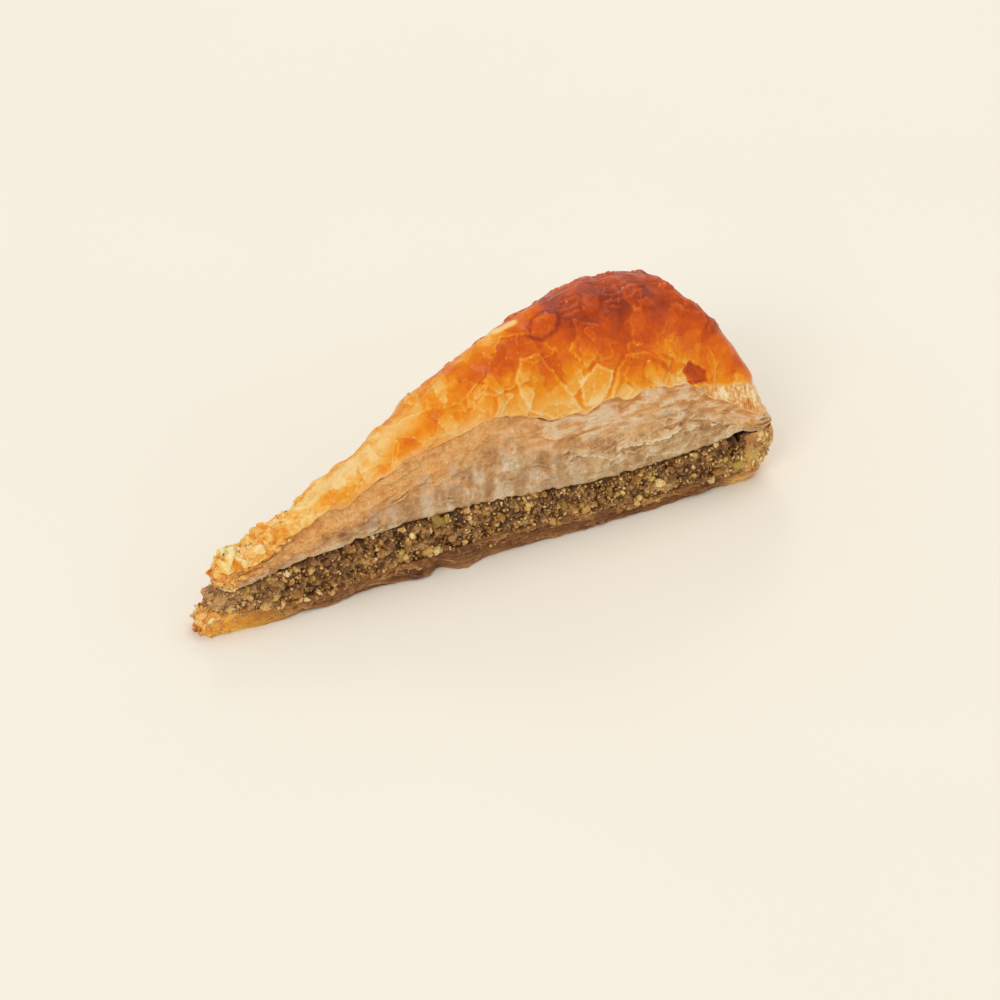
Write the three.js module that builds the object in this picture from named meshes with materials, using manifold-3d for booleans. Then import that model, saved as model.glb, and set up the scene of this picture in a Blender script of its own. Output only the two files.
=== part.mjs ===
// A baklava slice of the long, pointed kind that is cut from a round tray.
//
// It is a tall wedge in three layers: a thin base of syrup-soaked leaves that turns up
// at the tray rim, a slab of ground nuts, and a thick stack of pale leaves under a
// domed, glazed crust. Units are millimetres. +X runs from the tip to the rim, +Z is
// up, and the slice rests on z = 0. It is modelled round its mid-length and moved at
// the end, so that its bounding box is centred on the Z axis.

import * as THREE from "three";
import Module from "manifold-3d";

const wasm = await Module();
wasm.setup();

// ---- Driving dimensions -------------------------------------------------------------

const LENGTH = 150; // tip to rim at the base
const RIM_WIDTH = 54; // across the rim at the base
const TIP_WIDTH = 6; // across the cut-off tip
const TIP_CORNER = 2.8; // how far the tip's corners are rounded
const RIM_CORNER = 6; // how far the rim's corners are rounded
const RIM_BOW = 1.6; // how far the tray's curve bows the rim outwards
const RIM_BULGE = 6.4; // how far the rim swells above its foot
const RIM_BULGE_TURN = 0.8 * Math.PI; // part of a sine's half turn that the swell follows
const RIM_ZONE = [61, 73]; // along X, where the cut faces turn into the rim
const LEAF_RECESS = 6; // how far the upper leaves end behind the base's tip
const FILLING_RECESS = 3; // and the filling
const GAP = 0.3; // clearance between two layers
const CENTRE_X = 3.4; // the bounding box's middle, measured from the mid-length

// Heights along the slice, as [x, z] pairs that a smooth curve joins.
const BASE_TOP = [
  [-75, 5.4], [-66, 5.2], [-56, 3.8], [-38, 3.9], [-12, 5.3], [20, 4.9], [36, 3.2], [75, 3.9],
];
const FILLING_TOP = [
  [-75, 9.2], [-60, 11.4], [-42, 13.3], [-15, 15.1], [5, 14.4], [28, 12.2], [50, 12.6], [75, 14.6],
];
const CRUST_EDGE = [
  [-75, 12.8], [-62, 15.4], [-49, 19.3], [-25, 28.2], [0, 35.3],
  [25, 30.7], [49, 33], [64, 25.6], [78, 15.6],
];
const RIDGE = [[-66, 15.6], [-49, 22.4], [-25, 32], [0, 45.8], [25, 54.6], [49, 54.4], [70, 47]];

const RIDGE_FROM = -65; // the dome's crest starts here
const RIDGE_TO = 57.5; // and ends here, short of the rim
const LEAN_AT_TIP = 0.53; // share of the half width that the wall leans in at the tip
const LEAN_AT_RIM = 0.07; // and at the rim
const LEAN_START = 0.35; // share of the wall's height below which it is upright
const LEAN_POWER = 1.3;
const DOME_INWARD_POWER = 1.15; // roundness of the dome's section, across
const DOME_UPWARD_POWER = 1.57; // and upwards
const DOME_TOP = 0.93; // last ring of the dome, as a share of its quarter turn
const DOME_RINGS = 9;
const DOME_SHORT = [3, 8]; // lengths at the tip and the rim that share the crest's ends
const CREST_RISE = 1; // least height of the crest above the crust's edge

const LEAF_BANDS = 7; // leaf stacks that show as ledges on the cut faces
const LEAF_STEP = 0.7; // how far one ledge stands out from the next
const LEAF_SLOPE = 0.12; // height of the slope between two ledges, as such a share
const LEAF_WAVE = 61; // length of the slow waves along a ledge
const LEAF_WANDER = 0.3; // how far a ledge's edge wanders, as a share of its height
const LEAF_WANDER_WAVE = 31;
const LIP_REACH = 0.9; // how far the crust overhangs the leaves
const LIP_RAGGED = 1.1; // how far the crust's edge wanders up and down
const LIP_WAVE = 26;

const BASE_SPREAD = 1.4; // how far the base spreads near the tip
const BASE_SPREAD_AT = -60;
const BASE_SPREAD_SPAN = 13;
const BASE_SPREAD_TOP = 1.3; // share of the wall's height where the spread would end
const BASE_SPREAD_EASE = 3; // distance from the middle line over which it sets in
const RIM_WALL = 4.5; // thickness of the base leaves that turn up at the rim

// The base's rings: heights, shares of the base's height, and how much of the edge's
// tabs and waves each ring has. The lowest leaf lies a little way in.
const BASE_LEAF = 1.1;
const BASE_FOOT_EDGE = 0.7;
const BASE_WALL = [{ rise: 0.45, edge: 0.35 }, { rise: 0.75, edge: 0.5 }, { rise: 1, edge: 0.1 }];

// Tabs and tears along the front edge of the base: where, how far out, half length.
const BASE_TABS = [
  { x: -44, reach: 1.2, span: 5 },
  { x: -19, reach: 1.6, span: 3.5 },
  { x: -13.5, reach: -2, span: 2.4 },
  { x: -8, reach: 1.9, span: 3.5 },
  { x: 63, reach: -1.8, span: 5 },
];

const BLISTER_COUNT = 16; // bubbles baked into the crust
const BLISTER_HEIGHT = [0.5, 1.2];
const BLISTER_RADIUS = [4, 7];
const CRUST_WRINKLE = 0.25; // height of the waves between them
const CRUST_SETTLE = 0.5; // so that blisters and waves leave the mean height alone
const CRUMB_COUNT = 110; // nut pieces that stand out of the cut faces
const CRUMB_RADIUS = [0.9, 2];
const CRUMB_SUNK = 0.35; // share of a crumb's radius that is inside the wall
const CRUMB_UNEVEN = [0.75, 1.1]; // each corner's share of the radius
const CRUMB_STRETCH = [[0.9, 1.2], [0.8, 1], [0.75, 0.95]]; // along X, Y and Z
const FILLING_WAVE = 0.35; // height of the slow waves in the filling's walls
const FILLING_INSET = 0.2; // how far its walls lie behind the cut faces
const FILLING_EDGE_INSET = 0.4; // and its upper and lower edges

const HALF_STEPS = 60; // points along half of the outline
const SEED = 7;

// ---- Small tools --------------------------------------------------------------------

const { lerp, clamp } = THREE.MathUtils;
const random = seededRandom(SEED);

function seededRandom(seed) {
  let state = seed;
  return () => {
    state = (state + 0x6d2b79f5) | 0;
    let mixed = Math.imul(state ^ (state >>> 15), 1 | state);
    mixed = (mixed + Math.imul(mixed ^ (mixed >>> 7), 61 | mixed)) ^ mixed;
    return ((mixed ^ (mixed >>> 14)) >>> 0) / 2 ** 32;
  };
}

function between([low, high]) {
  return lerp(low, high, random());
}

// A smooth curve through [x, value] pairs, flat beyond its ends.
function profile(knots) {
  const last = knots.length - 1;
  const slopes = knots.map((knot, i) => {
    const before = knots[Math.max(i - 1, 0)];
    const after = knots[Math.min(i + 1, last)];
    return (after[1] - before[1]) / (after[0] - before[0]);
  });
  return (x) => {
    const at = clamp(x, knots[0][0], knots[last][0]);
    const i = Math.min(knots.findLastIndex((knot) => knot[0] <= at), last - 1);
    const span = knots[i + 1][0] - knots[i][0];
    const t = (at - knots[i][0]) / span;
    const rise = knots[i + 1][1] - knots[i][1];
    const startBend = slopes[i] * span - rise;
    const endBend = slopes[i + 1] * span - rise;
    return knots[i][1] + rise * t + t * (1 - t) * ((1 - t) * startBend - t * endBend);
  };
}

// A slow, never quite repeating wave between -1 and 1.
function wave(distance, length, phase) {
  const turn = (2 * Math.PI * distance) / length;
  return 0.6 * Math.sin(turn + phase) + 0.4 * Math.sin(2.37 * turn + 1.9 * phase);
}

function bump(distance, span) {
  return Math.exp(-((distance / span) ** 2));
}

const baseTop = profile(BASE_TOP);
const fillingTop = profile(FILLING_TOP);
const crustEdge = profile(CRUST_EDGE);
const ridge = profile(RIDGE);

// ---- Plan outline -------------------------------------------------------------------

function halfWidth(x) {
  return lerp(TIP_WIDTH, RIM_WIDTH, (x + LENGTH / 2) / LENGTH) / 2;
}

// Points of a layer's outline seen from above, counter-clockwise from the tip, each
// with its outward direction and its distance along the outline. Point i and point
// count - i mirror each other. Every layer's cut faces lie on the same two planes.
function outline({
  tip = -LENGTH / 2,
  rim = LENGTH / 2,
  corner = RIM_CORNER,
  bow = RIM_BOW,
  widen = 0,
} = {}) {
  const tipHalf = halfWidth(tip) + widen;
  const rimHalf = halfWidth(rim) + widen;
  const side = new THREE.Vector2(rim - tip, tipHalf - rimHalf).normalize();
  const path = new THREE.Path();
  path.moveTo(tip, 0);
  path.lineTo(tip, TIP_CORNER - tipHalf);
  path.quadraticCurveTo(tip, -tipHalf, tip + side.x * TIP_CORNER, side.y * TIP_CORNER - tipHalf);
  path.lineTo(rim - side.x * corner, -side.y * corner - rimHalf);
  path.quadraticCurveTo(rim, -rimHalf, rim + bow / 2, corner - rimHalf);
  path.quadraticCurveTo(rim + bow, (corner - rimHalf) / 2, rim + bow, 0);
  const half = path.getSpacedPoints(HALF_STEPS);
  const inner = half.slice(1, -1).reverse();
  const mirrored = inner.map((point) => new THREE.Vector2(point.x, -point.y));
  const points = [...half, ...mirrored];
  const spacing = path.getLength() / HALF_STEPS;
  return points.map((point, i) => {
    const next = points[(i + 1) % points.length];
    const before = points.at(i - 1);
    const along = next.clone().sub(before).normalize();
    return { x: point.x, y: point.y, outX: along.y, outY: -along.x, s: i * spacing };
  });
}

function rimShare(x) {
  return clamp((x - RIM_ZONE[0]) / (RIM_ZONE[1] - RIM_ZONE[0]), 0, 1);
}

// Where the slice's wall stands at height z above one point of the outline, pushed out
// by push. The cut faces lean inwards above the filling, and the rim swells.
function wallPoint(point, z, push, bulge = 1) {
  const rise = clamp(z / crustEdge(point.x), 0, 1);
  const rimward = rimShare(point.x) * bulge;
  const lean = lerp(LEAN_AT_TIP, LEAN_AT_RIM, clamp((point.x + LENGTH / 2) / LENGTH, 0, 1));
  const leanRise = clamp((rise - LEAN_START) / (1 - LEAN_START), 0, 1) ** LEAN_POWER;
  const nearTip = bump(point.x - BASE_SPREAD_AT, BASE_SPREAD_SPAN);
  const spread = BASE_SPREAD * nearTip * clamp(BASE_SPREAD_TOP - rise, 0, 1);
  const sideways = spread * clamp(point.y / BASE_SPREAD_EASE, -1, 1);
  const facingRim = clamp(point.outX, 0, 1) * rimward;
  const swell = RIM_BULGE * Math.sin(RIM_BULGE_TURN * rise) * facingRim + push;
  const inward = lean * leanRise * (1 - rimward);
  return new THREE.Vector3(
    point.x + point.outX * swell,
    (point.y + sideways) * (1 - inward) + point.outY * swell,
    z,
  );
}

// ---- Closed skins -------------------------------------------------------------------

// A closed surface through rings of matching points, from the lowest to the highest.
// Each end is closed by strips from every point to its mirror point.
function skin(rings) {
  const count = rings[0].length;
  const at = (ring, i) => ring * count + ((i + count) % count);
  const index = [];
  for (let ring = 0; ring < rings.length - 1; ring += 1) {
    for (let i = 0; i < count; i += 1) {
      index.push(at(ring, i), at(ring, i + 1), at(ring + 1, i + 1));
      index.push(at(ring, i), at(ring + 1, i + 1), at(ring + 1, i));
    }
  }
  const top = rings.length - 1;
  for (let i = 0; i < count / 2; i += 1) {
    if (i < count / 2 - 1) {
      index.push(at(top, i), at(top, i + 1), at(top, -i - 1));
      index.push(at(0, i), at(0, -i - 1), at(0, i + 1));
    }
    if (i > 0) {
      index.push(at(top, i), at(top, -i - 1), at(top, -i));
      index.push(at(0, i), at(0, -i), at(0, -i - 1));
    }
  }
  const geometry = new THREE.BufferGeometry().setFromPoints(rings.flat());
  geometry.setIndex(index);
  return geometry;
}

function toSolid(geometry) {
  return new wasm.Manifold(new wasm.Mesh({
    numProp: 3,
    vertProperties: new Float32Array(geometry.attributes.position.array),
    triVerts: new Uint32Array(geometry.index.array),
  }));
}

function toGeometry(solid) {
  const mesh = solid.getMesh();
  const geometry = new THREE.BufferGeometry();
  geometry.setAttribute("position", new THREE.BufferAttribute(mesh.vertProperties, 3));
  geometry.setIndex(new THREE.BufferAttribute(mesh.triVerts, 1));
  return geometry;
}

function named(name, geometry, color, roughness) {
  geometry.computeVertexNormals();
  const material = new THREE.MeshStandardMaterial({ color, roughness, metalness: 0 });
  const mesh = new THREE.Mesh(geometry, material);
  mesh.name = name;
  return mesh;
}

// ---- Base leaves --------------------------------------------------------------------

// How far the base's lowest leaf stands out: named tabs in front, a wave behind.
function baseEdge(point) {
  const wander = 0.35 * wave(point.s, 17, 0.4);
  if (point.y > 0) {
    return wander + 0.8 * wave(point.s, 29, 2.1);
  }
  return BASE_TABS.reduce((sum, tab) => sum + tab.reach * bump(point.x - tab.x, tab.span), wander);
}

// The space that the filling takes out of the base: open at both cut faces and at the
// tip, and stopped by the leaves that turn up at the rim.
function fillingSpace() {
  const plan = outline({ tip: -LENGTH, rim: LENGTH / 2 - RIM_WALL, widen: RIM_WIDTH });
  const floor = plan.map((point) => new THREE.Vector3(point.x, point.y, baseTop(point.x)));
  const ceiling = plan.map((point) => new THREE.Vector3(point.x, point.y, LENGTH));
  return skin([floor, ceiling]);
}

function baseLeaves() {
  const plan = outline();
  const ring = (height, edge) =>
    plan.map((point) => wallPoint(point, height(point.x), edge * baseEdge(point)));
  const rings = [
    ring(() => 0, BASE_FOOT_EDGE),
    ring(() => BASE_LEAF, 1),
    ...BASE_WALL.map(({ rise, edge }) => ring((x) => rise * baseTop(x), edge)),
    ring(fillingTop, 0),
  ];
  const block = toSolid(skin(rings));
  return toGeometry(block.subtract(toSolid(fillingSpace())));
}

// ---- Ground nuts --------------------------------------------------------------------

// One irregular nut piece of about this radius, round the origin.
function crumb(radius) {
  const geometry = new THREE.IcosahedronGeometry(radius, 0);
  geometry.deleteAttribute("normal");
  geometry.deleteAttribute("uv");
  const corners = new Map();
  const position = geometry.attributes.position;
  const vertices = [];
  const index = [];
  for (let i = 0; i < position.count; i += 1) {
    const corner = new THREE.Vector3().fromBufferAttribute(position, i);
    const key = corner.toArray().map((value) => value.toFixed(3)).join();
    if (!corners.has(key)) {
      corners.set(key, vertices.length / 3);
      vertices.push(...corner.multiplyScalar(between(CRUMB_UNEVEN)).toArray());
    }
    index.push(corners.get(key));
  }
  const piece = new THREE.BufferGeometry();
  piece.setAttribute("position", new THREE.Float32BufferAttribute(vertices, 3));
  piece.setIndex(index);
  piece.scale(...CRUMB_STRETCH.map(between));
  piece.rotateZ(between([0, Math.PI]));
  return piece;
}

function nutFilling() {
  const plan = outline({
    tip: FILLING_RECESS - LENGTH / 2,
    rim: LENGTH / 2 - RIM_WALL - GAP,
    corner: 1,
    bow: 0,
  });
  const floor = (x) => baseTop(x) + GAP;
  const rough = (point, level) => FILLING_WAVE * wave(point.s, 11, 3 * level) - FILLING_INSET;
  const wall = (point, share) => wallPoint(
    point,
    lerp(floor(point.x), fillingTop(point.x), share),
    share === 0 || share === 1 ? -FILLING_EDGE_INSET : rough(point, share),
    0,
  );
  const shares = [0, 0.25, 0.5, 0.75, 1];
  let solid = toSolid(skin(shares.map((share) => plan.map((point) => wall(point, share)))));
  const sidePoints = plan.filter((point) => rimShare(point.x) === 0);
  for (let i = 0; i < CRUMB_COUNT; i += 1) {
    const radius = between(CRUMB_RADIUS);
    const place = Math.floor(((i + random()) / CRUMB_COUNT) * sidePoints.length);
    const point = sidePoints[place];
    const room = fillingTop(point.x) - floor(point.x) - 2 * radius;
    if (room > 0) {
      const share = (radius + room * random()) / (room + 2 * radius);
      const centre = wall(point, share);
      const piece = crumb(radius);
      piece.translate(
        centre.x - point.outX * radius * CRUMB_SUNK,
        centre.y - point.outY * radius * CRUMB_SUNK,
        centre.z,
      );
      solid = solid.add(toSolid(piece));
    }
  }
  return toGeometry(solid);
}

// ---- Upper leaves and crust ---------------------------------------------------------

// Bubbles in the crust, as places in plan with a height and a radius.
function blisters() {
  return Array.from({ length: BLISTER_COUNT }, (_, i) => {
    const x = lerp(RIDGE_FROM + 20, RIDGE_TO + 6, (i + random()) / BLISTER_COUNT);
    const y = halfWidth(x) * between([-0.8, 0.8]);
    return { x, y, height: between(BLISTER_HEIGHT), radius: between(BLISTER_RADIUS) };
  });
}

function crustRelief(x, y, bubbles) {
  const rise = ({ x: atX, y: atY, height, radius }) => height * bump(Math.hypot(x - atX, y - atY), radius);
  const swelling = bubbles.reduce((sum, bubble) => sum + rise(bubble), 0);
  const wrinkles = CRUST_WRINKLE * (wave(x + 0.6 * y, 19, 0.7) + wave(y - 0.4 * x, 13, 2.6));
  return swelling + wrinkles - CRUST_SETTLE;
}

// How far the ledge of one leaf stack stands out. Ledges stand out and set back by turns.
function ledge(point, band) {
  const turn = band % 2 ? 0.5 : -0.5;
  return LEAF_STEP * (turn + 0.7 * wave(point.s, LEAF_WAVE + 9 * band, 2.9 * band));
}

function crustHeight(point) {
  return crustEdge(point.x) + LIP_RAGGED * wave(point.s, LIP_WAVE, 1.3) * (1 - rimShare(point.x));
}

function leafRings(plan) {
  const foot = (point) => fillingTop(point.x) + GAP;
  const rings = [];
  const ring = (level, push, phase = null) => rings.push(plan.map((point) => {
    const wander = phase === null ? 0 : LEAF_WANDER * wave(point.s, LEAF_WANDER_WAVE, phase);
    const share = (level + wander) / LEAF_BANDS;
    return wallPoint(point, lerp(foot(point), crustHeight(point), share), push(point));
  }));
  ring(0, (point) => ledge(point, 0));
  for (let band = 0; band < LEAF_BANDS; band += 1) {
    if (band > 0) {
      ring(band + LEAF_SLOPE, (point) => ledge(point, band), 2.2 * band);
    }
    if (band < LEAF_BANDS - 1) {
      ring(band + 1, (point) => ledge(point, band), 2.2 * (band + 1));
    }
  }
  ring(LEAF_BANDS - LEAF_SLOPE, () => 0);
  ring(LEAF_BANDS, () => LIP_REACH);
  return rings;
}

function domeRings(plan, edge, bubbles) {
  const rings = [];
  const crestFrom = DOME_SHORT[0] - LENGTH / 2;
  const crestTo = LENGTH / 2 - DOME_SHORT[1];
  for (let step = 1; step <= DOME_RINGS; step += 1) {
    const turn = (step / DOME_RINGS) * DOME_TOP * (Math.PI / 2);
    const inward = 1 - Math.cos(turn) ** DOME_INWARD_POWER;
    const upward = Math.sin(turn) ** DOME_UPWARD_POWER;
    rings.push(plan.map((point, i) => {
      const from = edge[i];
      const along = clamp((point.x - crestFrom) / (crestTo - crestFrom), 0, 1);
      const crestX = lerp(RIDGE_FROM, RIDGE_TO, along);
      const x = lerp(from.x, crestX, inward);
      const y = lerp(from.y, 0, inward);
      const lift = crustRelief(x, y, bubbles) * Math.sin(turn);
      const crestZ = Math.max(ridge(crestX), from.z + CREST_RISE);
      return new THREE.Vector3(x, y, lerp(from.z, crestZ, upward) + lift);
    }));
  }
  return rings;
}

function upperLeaves() {
  const plan = outline({ tip: LEAF_RECESS - LENGTH / 2 });
  const bubbles = blisters();
  const wall = leafRings(plan);
  return skin([...wall, ...domeRings(plan, wall.at(-1), bubbles)]);
}

// ---- The slice ----------------------------------------------------------------------

const slice = new THREE.Group();
slice.add(named("bottom_pastry", baseLeaves(), 0x9c6a35, 0.4));
slice.add(named("nut_filling", nutFilling(), 0x87653d, 0.8));
slice.add(named("top_pastry", upperLeaves(), 0xdc913f, 0.3));

slice.children.forEach((mesh) => mesh.position.setX(-CENTRE_X));

export default slice;
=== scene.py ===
"""A slice of baklava: detailed pastry leaves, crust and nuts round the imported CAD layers.

Shapes are worked out in millimetres from the same driving dimensions as the CAD solids,
and turned into metres only where a mesh is made. +X runs from the tip to the rim.
"""

import copy
import math
from collections import namedtuple

import bmesh
import bpy
import numpy as np
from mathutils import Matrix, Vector


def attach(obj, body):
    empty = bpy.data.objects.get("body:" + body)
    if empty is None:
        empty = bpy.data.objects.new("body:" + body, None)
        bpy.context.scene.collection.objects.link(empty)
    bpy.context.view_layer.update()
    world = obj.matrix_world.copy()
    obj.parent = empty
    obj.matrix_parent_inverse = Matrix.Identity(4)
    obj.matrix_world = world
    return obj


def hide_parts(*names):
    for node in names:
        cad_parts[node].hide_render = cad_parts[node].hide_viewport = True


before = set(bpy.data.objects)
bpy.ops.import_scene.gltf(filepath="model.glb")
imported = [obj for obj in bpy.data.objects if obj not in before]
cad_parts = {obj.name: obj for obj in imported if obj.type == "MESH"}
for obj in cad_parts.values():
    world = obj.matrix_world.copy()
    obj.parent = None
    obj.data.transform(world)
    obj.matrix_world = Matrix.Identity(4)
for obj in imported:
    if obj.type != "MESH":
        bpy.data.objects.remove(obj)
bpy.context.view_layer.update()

MM = 0.001

# ---- Driving dimensions, in millimetres, as in the CAD solids ----

LENGTH = 150
TIP_X, RIM_X = -LENGTH / 2, LENGTH / 2
RIM_WIDTH = 54
TIP_WIDTH = 6
TIP_CORNER = 2.8
RIM_CORNER = 6
RIM_BOW = 1.6
RIM_BULGE = 6.4
RIM_BULGE_TURN = 0.8 * math.pi
RIM_ZONE = (61, 73)
LEAF_RECESS = 6
FILLING_RECESS = 3
GAP = 0.3
CENTRE_X = 3.4

BASE_TOP = [
    (-75, 5.4), (-66, 5.2), (-56, 3.8), (-38, 3.9), (-12, 5.3), (20, 4.9), (36, 3.2), (75, 3.9),
]
FILLING_TOP = [
    (-75, 9.2), (-60, 11.4), (-42, 13.3), (-15, 15.1), (5, 14.4), (28, 12.2), (50, 12.6), (75, 14.6),
]
CRUST_EDGE = [
    (-75, 12.8), (-62, 15.4), (-49, 19.3), (-25, 28.2), (0, 35.3),
    (25, 30.7), (49, 33), (64, 25.6), (78, 15.6),
]
RIDGE = [(-66, 15.6), (-49, 22.4), (-25, 32), (0, 45.8), (25, 54.6), (49, 54.4), (70, 47)]

RIDGE_FROM = -65
RIDGE_TO = 57.5
LEAN_AT_TIP = 0.53
LEAN_AT_RIM = 0.07
LEAN_START = 0.35
LEAN_POWER = 1.3
DOME_INWARD_POWER = 1.15
DOME_UPWARD_POWER = 1.57
DOME_SHORT = (3, 8)
CREST_RISE = 1

LEAF_BANDS = 7
LEAF_STEP = 0.7
LEAF_SLOPE = 0.36  # three times the slope of the CAD solids, because the steps here are soft
LEAF_WAVE = 61
LEAF_WANDER = 0.3
LEAF_WANDER_WAVE = 31
LIP_REACH = 0.9
LIP_RAGGED = 1.1
LIP_WAVE = 26

BASE_SPREAD = 1.4
BASE_SPREAD_AT = -60
BASE_SPREAD_SPAN = 13
BASE_SPREAD_TOP = 1.3
BASE_SPREAD_EASE = 3
RIM_WALL = 4.5
# where the base's front edge stands out or back: (x, reach, span)
BASE_TABS = [(-44, 1.2, 5), (-19, 1.6, 3.5), (-13.5, -2, 2.4), (-8, 1.9, 3.5), (63, -1.8, 5)]

# ---- Details that the CAD solids do not have, in millimetres ----

# the filling's cut face: a hole near the rim (x, z), with painted shade inside, and nut pieces (x, level,
# radius)
CAVITY_AT = (68.6, 13.4)
GREEN_NUTS = [
    (69, 0.2, 1.7), (-14, 0.84, 1.9), (-12, 0.84, 1.4), (20, 0.45, 1.2), (-24, 0.3, 1), (44, 0.6, 1),
]

# left of this x, flakes also come off the leaves below the crust
FRAYED_TO = -58

# the crust's lip, from below: (height above its edge, share of its reach)
LIP = [(0.5, -2.5), (0, -0.6), (0.02, 0.6), (0.3, 1)]

# on the crust's front: a torn patch (corners x, z), big sheets (brownness, corners x, z),
# a blister (x, y, half length, half width) with painted shade round its foot, a fold from
# (x, y) to (x, y) painted pale as a glint, and a flap whose edge, painted light, runs from (x, z) to (x, z)
TORN_PATCH = [(54.9, 35.4), (56, 31.2), (61.2, 31), (61.4, 33.2), (57.5, 36.6)]
BIG_SHEETS = [
    (-0.05, [
        (11.3, 42.8), (11.9, 38.4), (13.4, 34.6), (19.5, 31.5), (27.1, 31.6), (19.5, 46.8), (14.8, 46.3),
    ]),
    (-0.16, [(27.5, 38.5), (27.6, 33), (31.5, 31.5), (34.8, 36.1), (37.1, 39.1), (33, 41.5)]),
    (0.05, [(38, 39.5), (35, 34.5), (33.5, 32), (42, 32), (50, 33.5), (52, 38), (46, 42), (41, 42)]),
]
BLISTER = (23.5, -4.5, 4.2, 2.2)
GLINT_FOLD = [(11.5, 1.2), (19, -1)]
FLAP = [(53.6, 30.4), (67.3, 28.3)]

# ---- How finely the pieces are divided, and how many small parts there are ----

# steps along half an outline
WALL_STEPS = 450
CRUST_STEPS = 430
CRUMB_STEPS = 420
BIT_STEPS = 400
RIBBON_STEPS = 300

DOME_ROWS = 92
WELD_REACH = 0.002  # mm

RIBBONS = 70
FLAKES = 330
TIP_BITS = 120
RIM_CRUMBS = 900
LOOSE_GREEN_NUTS = 44

# piles of torn sheets: their number, the rows of the surface they lie in (shares), ranges of
# their length, height and thickness, and how much they swing, slant and fray
Pile = namedtuple("Pile", "count rows length height thickness swing slant ragged")
LEAF_SHEETS = Pile(190, (0.1, 1), (5, 24), (2.5, 7), (0.15, 0.55), 0.5, 0.2, 0.35)
BASE_SHEETS = Pile(170, (0, 1), (6, 24), (1.2, 3.2), (0.15, 0.45), 0.4, 0.1, 0.25)
CRUST_TONGUES = Pile(130, (0.04, 0.45), (4, 13), (5, 16), (0.1, 0.3), 0.6, 0.4, 0.2)
CRUST_SHEETS = Pile(120, (0.3, 0.95), (5, 18), (4, 11), (0.1, 0.4), 1.2, 0.7, 0.35)
TIP_SHEETS = Pile(150, (0.04, 0.95), (2.5, 7), (2, 5), (0.15, 0.45), 1.2, 0.7, 0.35)

# ---- The photograph's view ----

VIEW_AZIMUTH = -37.16  # degrees; 0 looks along +Y
VIEW_ELEVATION = 32
VIEW_DISTANCE = 800  # mm
VIEW_TARGET = (-5.7, -21.2, 20)  # mm
LENS = 120.9  # mm
SENSOR = 36  # mm
CLIP_START = 0.01  # metres

# ---- Light and colours ----

# name, azimuth and elevation (degrees), distance and size (metres), power (watts)
LAMPS = [
    ("key", 100, 66, 2.3, 1.7, 12.5),
    ("fill", -60, 34, 2.5, 1.2, 18),
    ("glint", 150, 34, 2.0, 0.4, 3),
]
LIGHT_COLOR = (1.0, 0.99, 0.98)
SKY_STRENGTH = 0.62
FLOOR_SPAN = 6.0  # metres, from the middle to each side
NUT_BROWNS = {0: "4a2709", 0.3: "86531c", 0.6: "b8833a", 0.85: "e2b668", 1: "f8dea0"}
NUT_GREENS = {0: "866a14", 0.6: "b49422", 1: "d8ba54"}


# ---- Small tools ----


def lerp(start, end, share):
    return start + (end - start) * share


def share_along(x):
    """0 at the tip and 1 at the rim."""
    return (x - TIP_X) / LENGTH


def clamp(value):
    return np.clip(value, 0, 1)


def smooth(low, high, value):
    """0 below low, 1 above high, and a smooth rise between."""
    share = clamp((value - low) / (high - low))
    return share * share * (3 - 2 * share)


def bump(distance, span):
    return np.exp(-((distance / span) ** 2))


def profile(knots):
    """A smooth curve through (x, value) pairs, flat beyond its ends."""
    at_x, value = np.array(knots, float).T
    last = len(knots) - 1
    before = np.maximum(np.arange(last + 1) - 1, 0)
    after = np.minimum(np.arange(last + 1) + 1, last)
    slope = (value[after] - value[before]) / (at_x[after] - at_x[before])

    def curve(x):
        x = np.clip(x, at_x[0], at_x[-1])
        i = np.clip(np.searchsorted(at_x, x, side="right") - 1, 0, last - 1)
        span = at_x[i + 1] - at_x[i]
        rise = value[i + 1] - value[i]
        t = (x - at_x[i]) / span
        start_bend = slope[i] * span - rise
        end_bend = slope[i + 1] * span - rise
        return value[i] + rise * t + t * (1 - t) * ((1 - t) * start_bend - t * end_bend)

    return curve


def wave(distance, length, phase):
    """A slow, never quite repeating wave between -1 and 1."""
    turn = 2 * math.pi * distance / length
    return 0.6 * np.sin(turn + phase) + 0.4 * np.sin(2.37 * turn + 1.9 * phase)


def scaled(at, size):
    """The coordinates (x, y, z) divided by one size, or by one size each."""
    return [value / length for value, length in zip(at, np.broadcast_to(size, 3))]


GRADIENTS = np.array(
    [(a, b, 0) for a in (1, -1) for b in (1, -1)]
    + [(a, 0, b) for a in (1, -1) for b in (1, -1)]
    + [(0, a, b) for a in (1, -1) for b in (1, -1)],
    float,
)
HASH_PRIMES = (374761393, 668265263, 1103515245)


def noise(at, size, seed):
    """Gradient noise at (x, y, z), roughly between -1 and 1, with features of this size."""
    spots = np.broadcast_arrays(*scaled(at, size))
    cells = [np.floor(value).astype(np.int64) for value in spots]
    parts = [value - cell for value, cell in zip(spots, cells)]
    fades = [t**3 * (t * (t * 6 - 15) + 10) for t in parts]
    total = np.zeros(spots[0].shape)
    for corner in range(8):
        step = (corner & 1, corner >> 1 & 1, corner >> 2 & 1)
        mixed = seed * 974711
        weight = 1.0
        for cell, fade, shift, prime in zip(cells, fades, step, HASH_PRIMES):
            mixed = mixed + (cell + shift) * prime
            weight = weight * (fade if shift else 1 - fade)
        mixed = mixed & 0xFFFFFFFF
        mixed = ((mixed ^ (mixed >> 13)) * 1274126177) & 0xFFFFFFFF
        gradient = GRADIENTS[(mixed ^ (mixed >> 16)) % len(GRADIENTS)]
        total += weight * sum(gradient[..., k] * (parts[k] - step[k]) for k in range(3))
    return 1.4 * total


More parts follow.
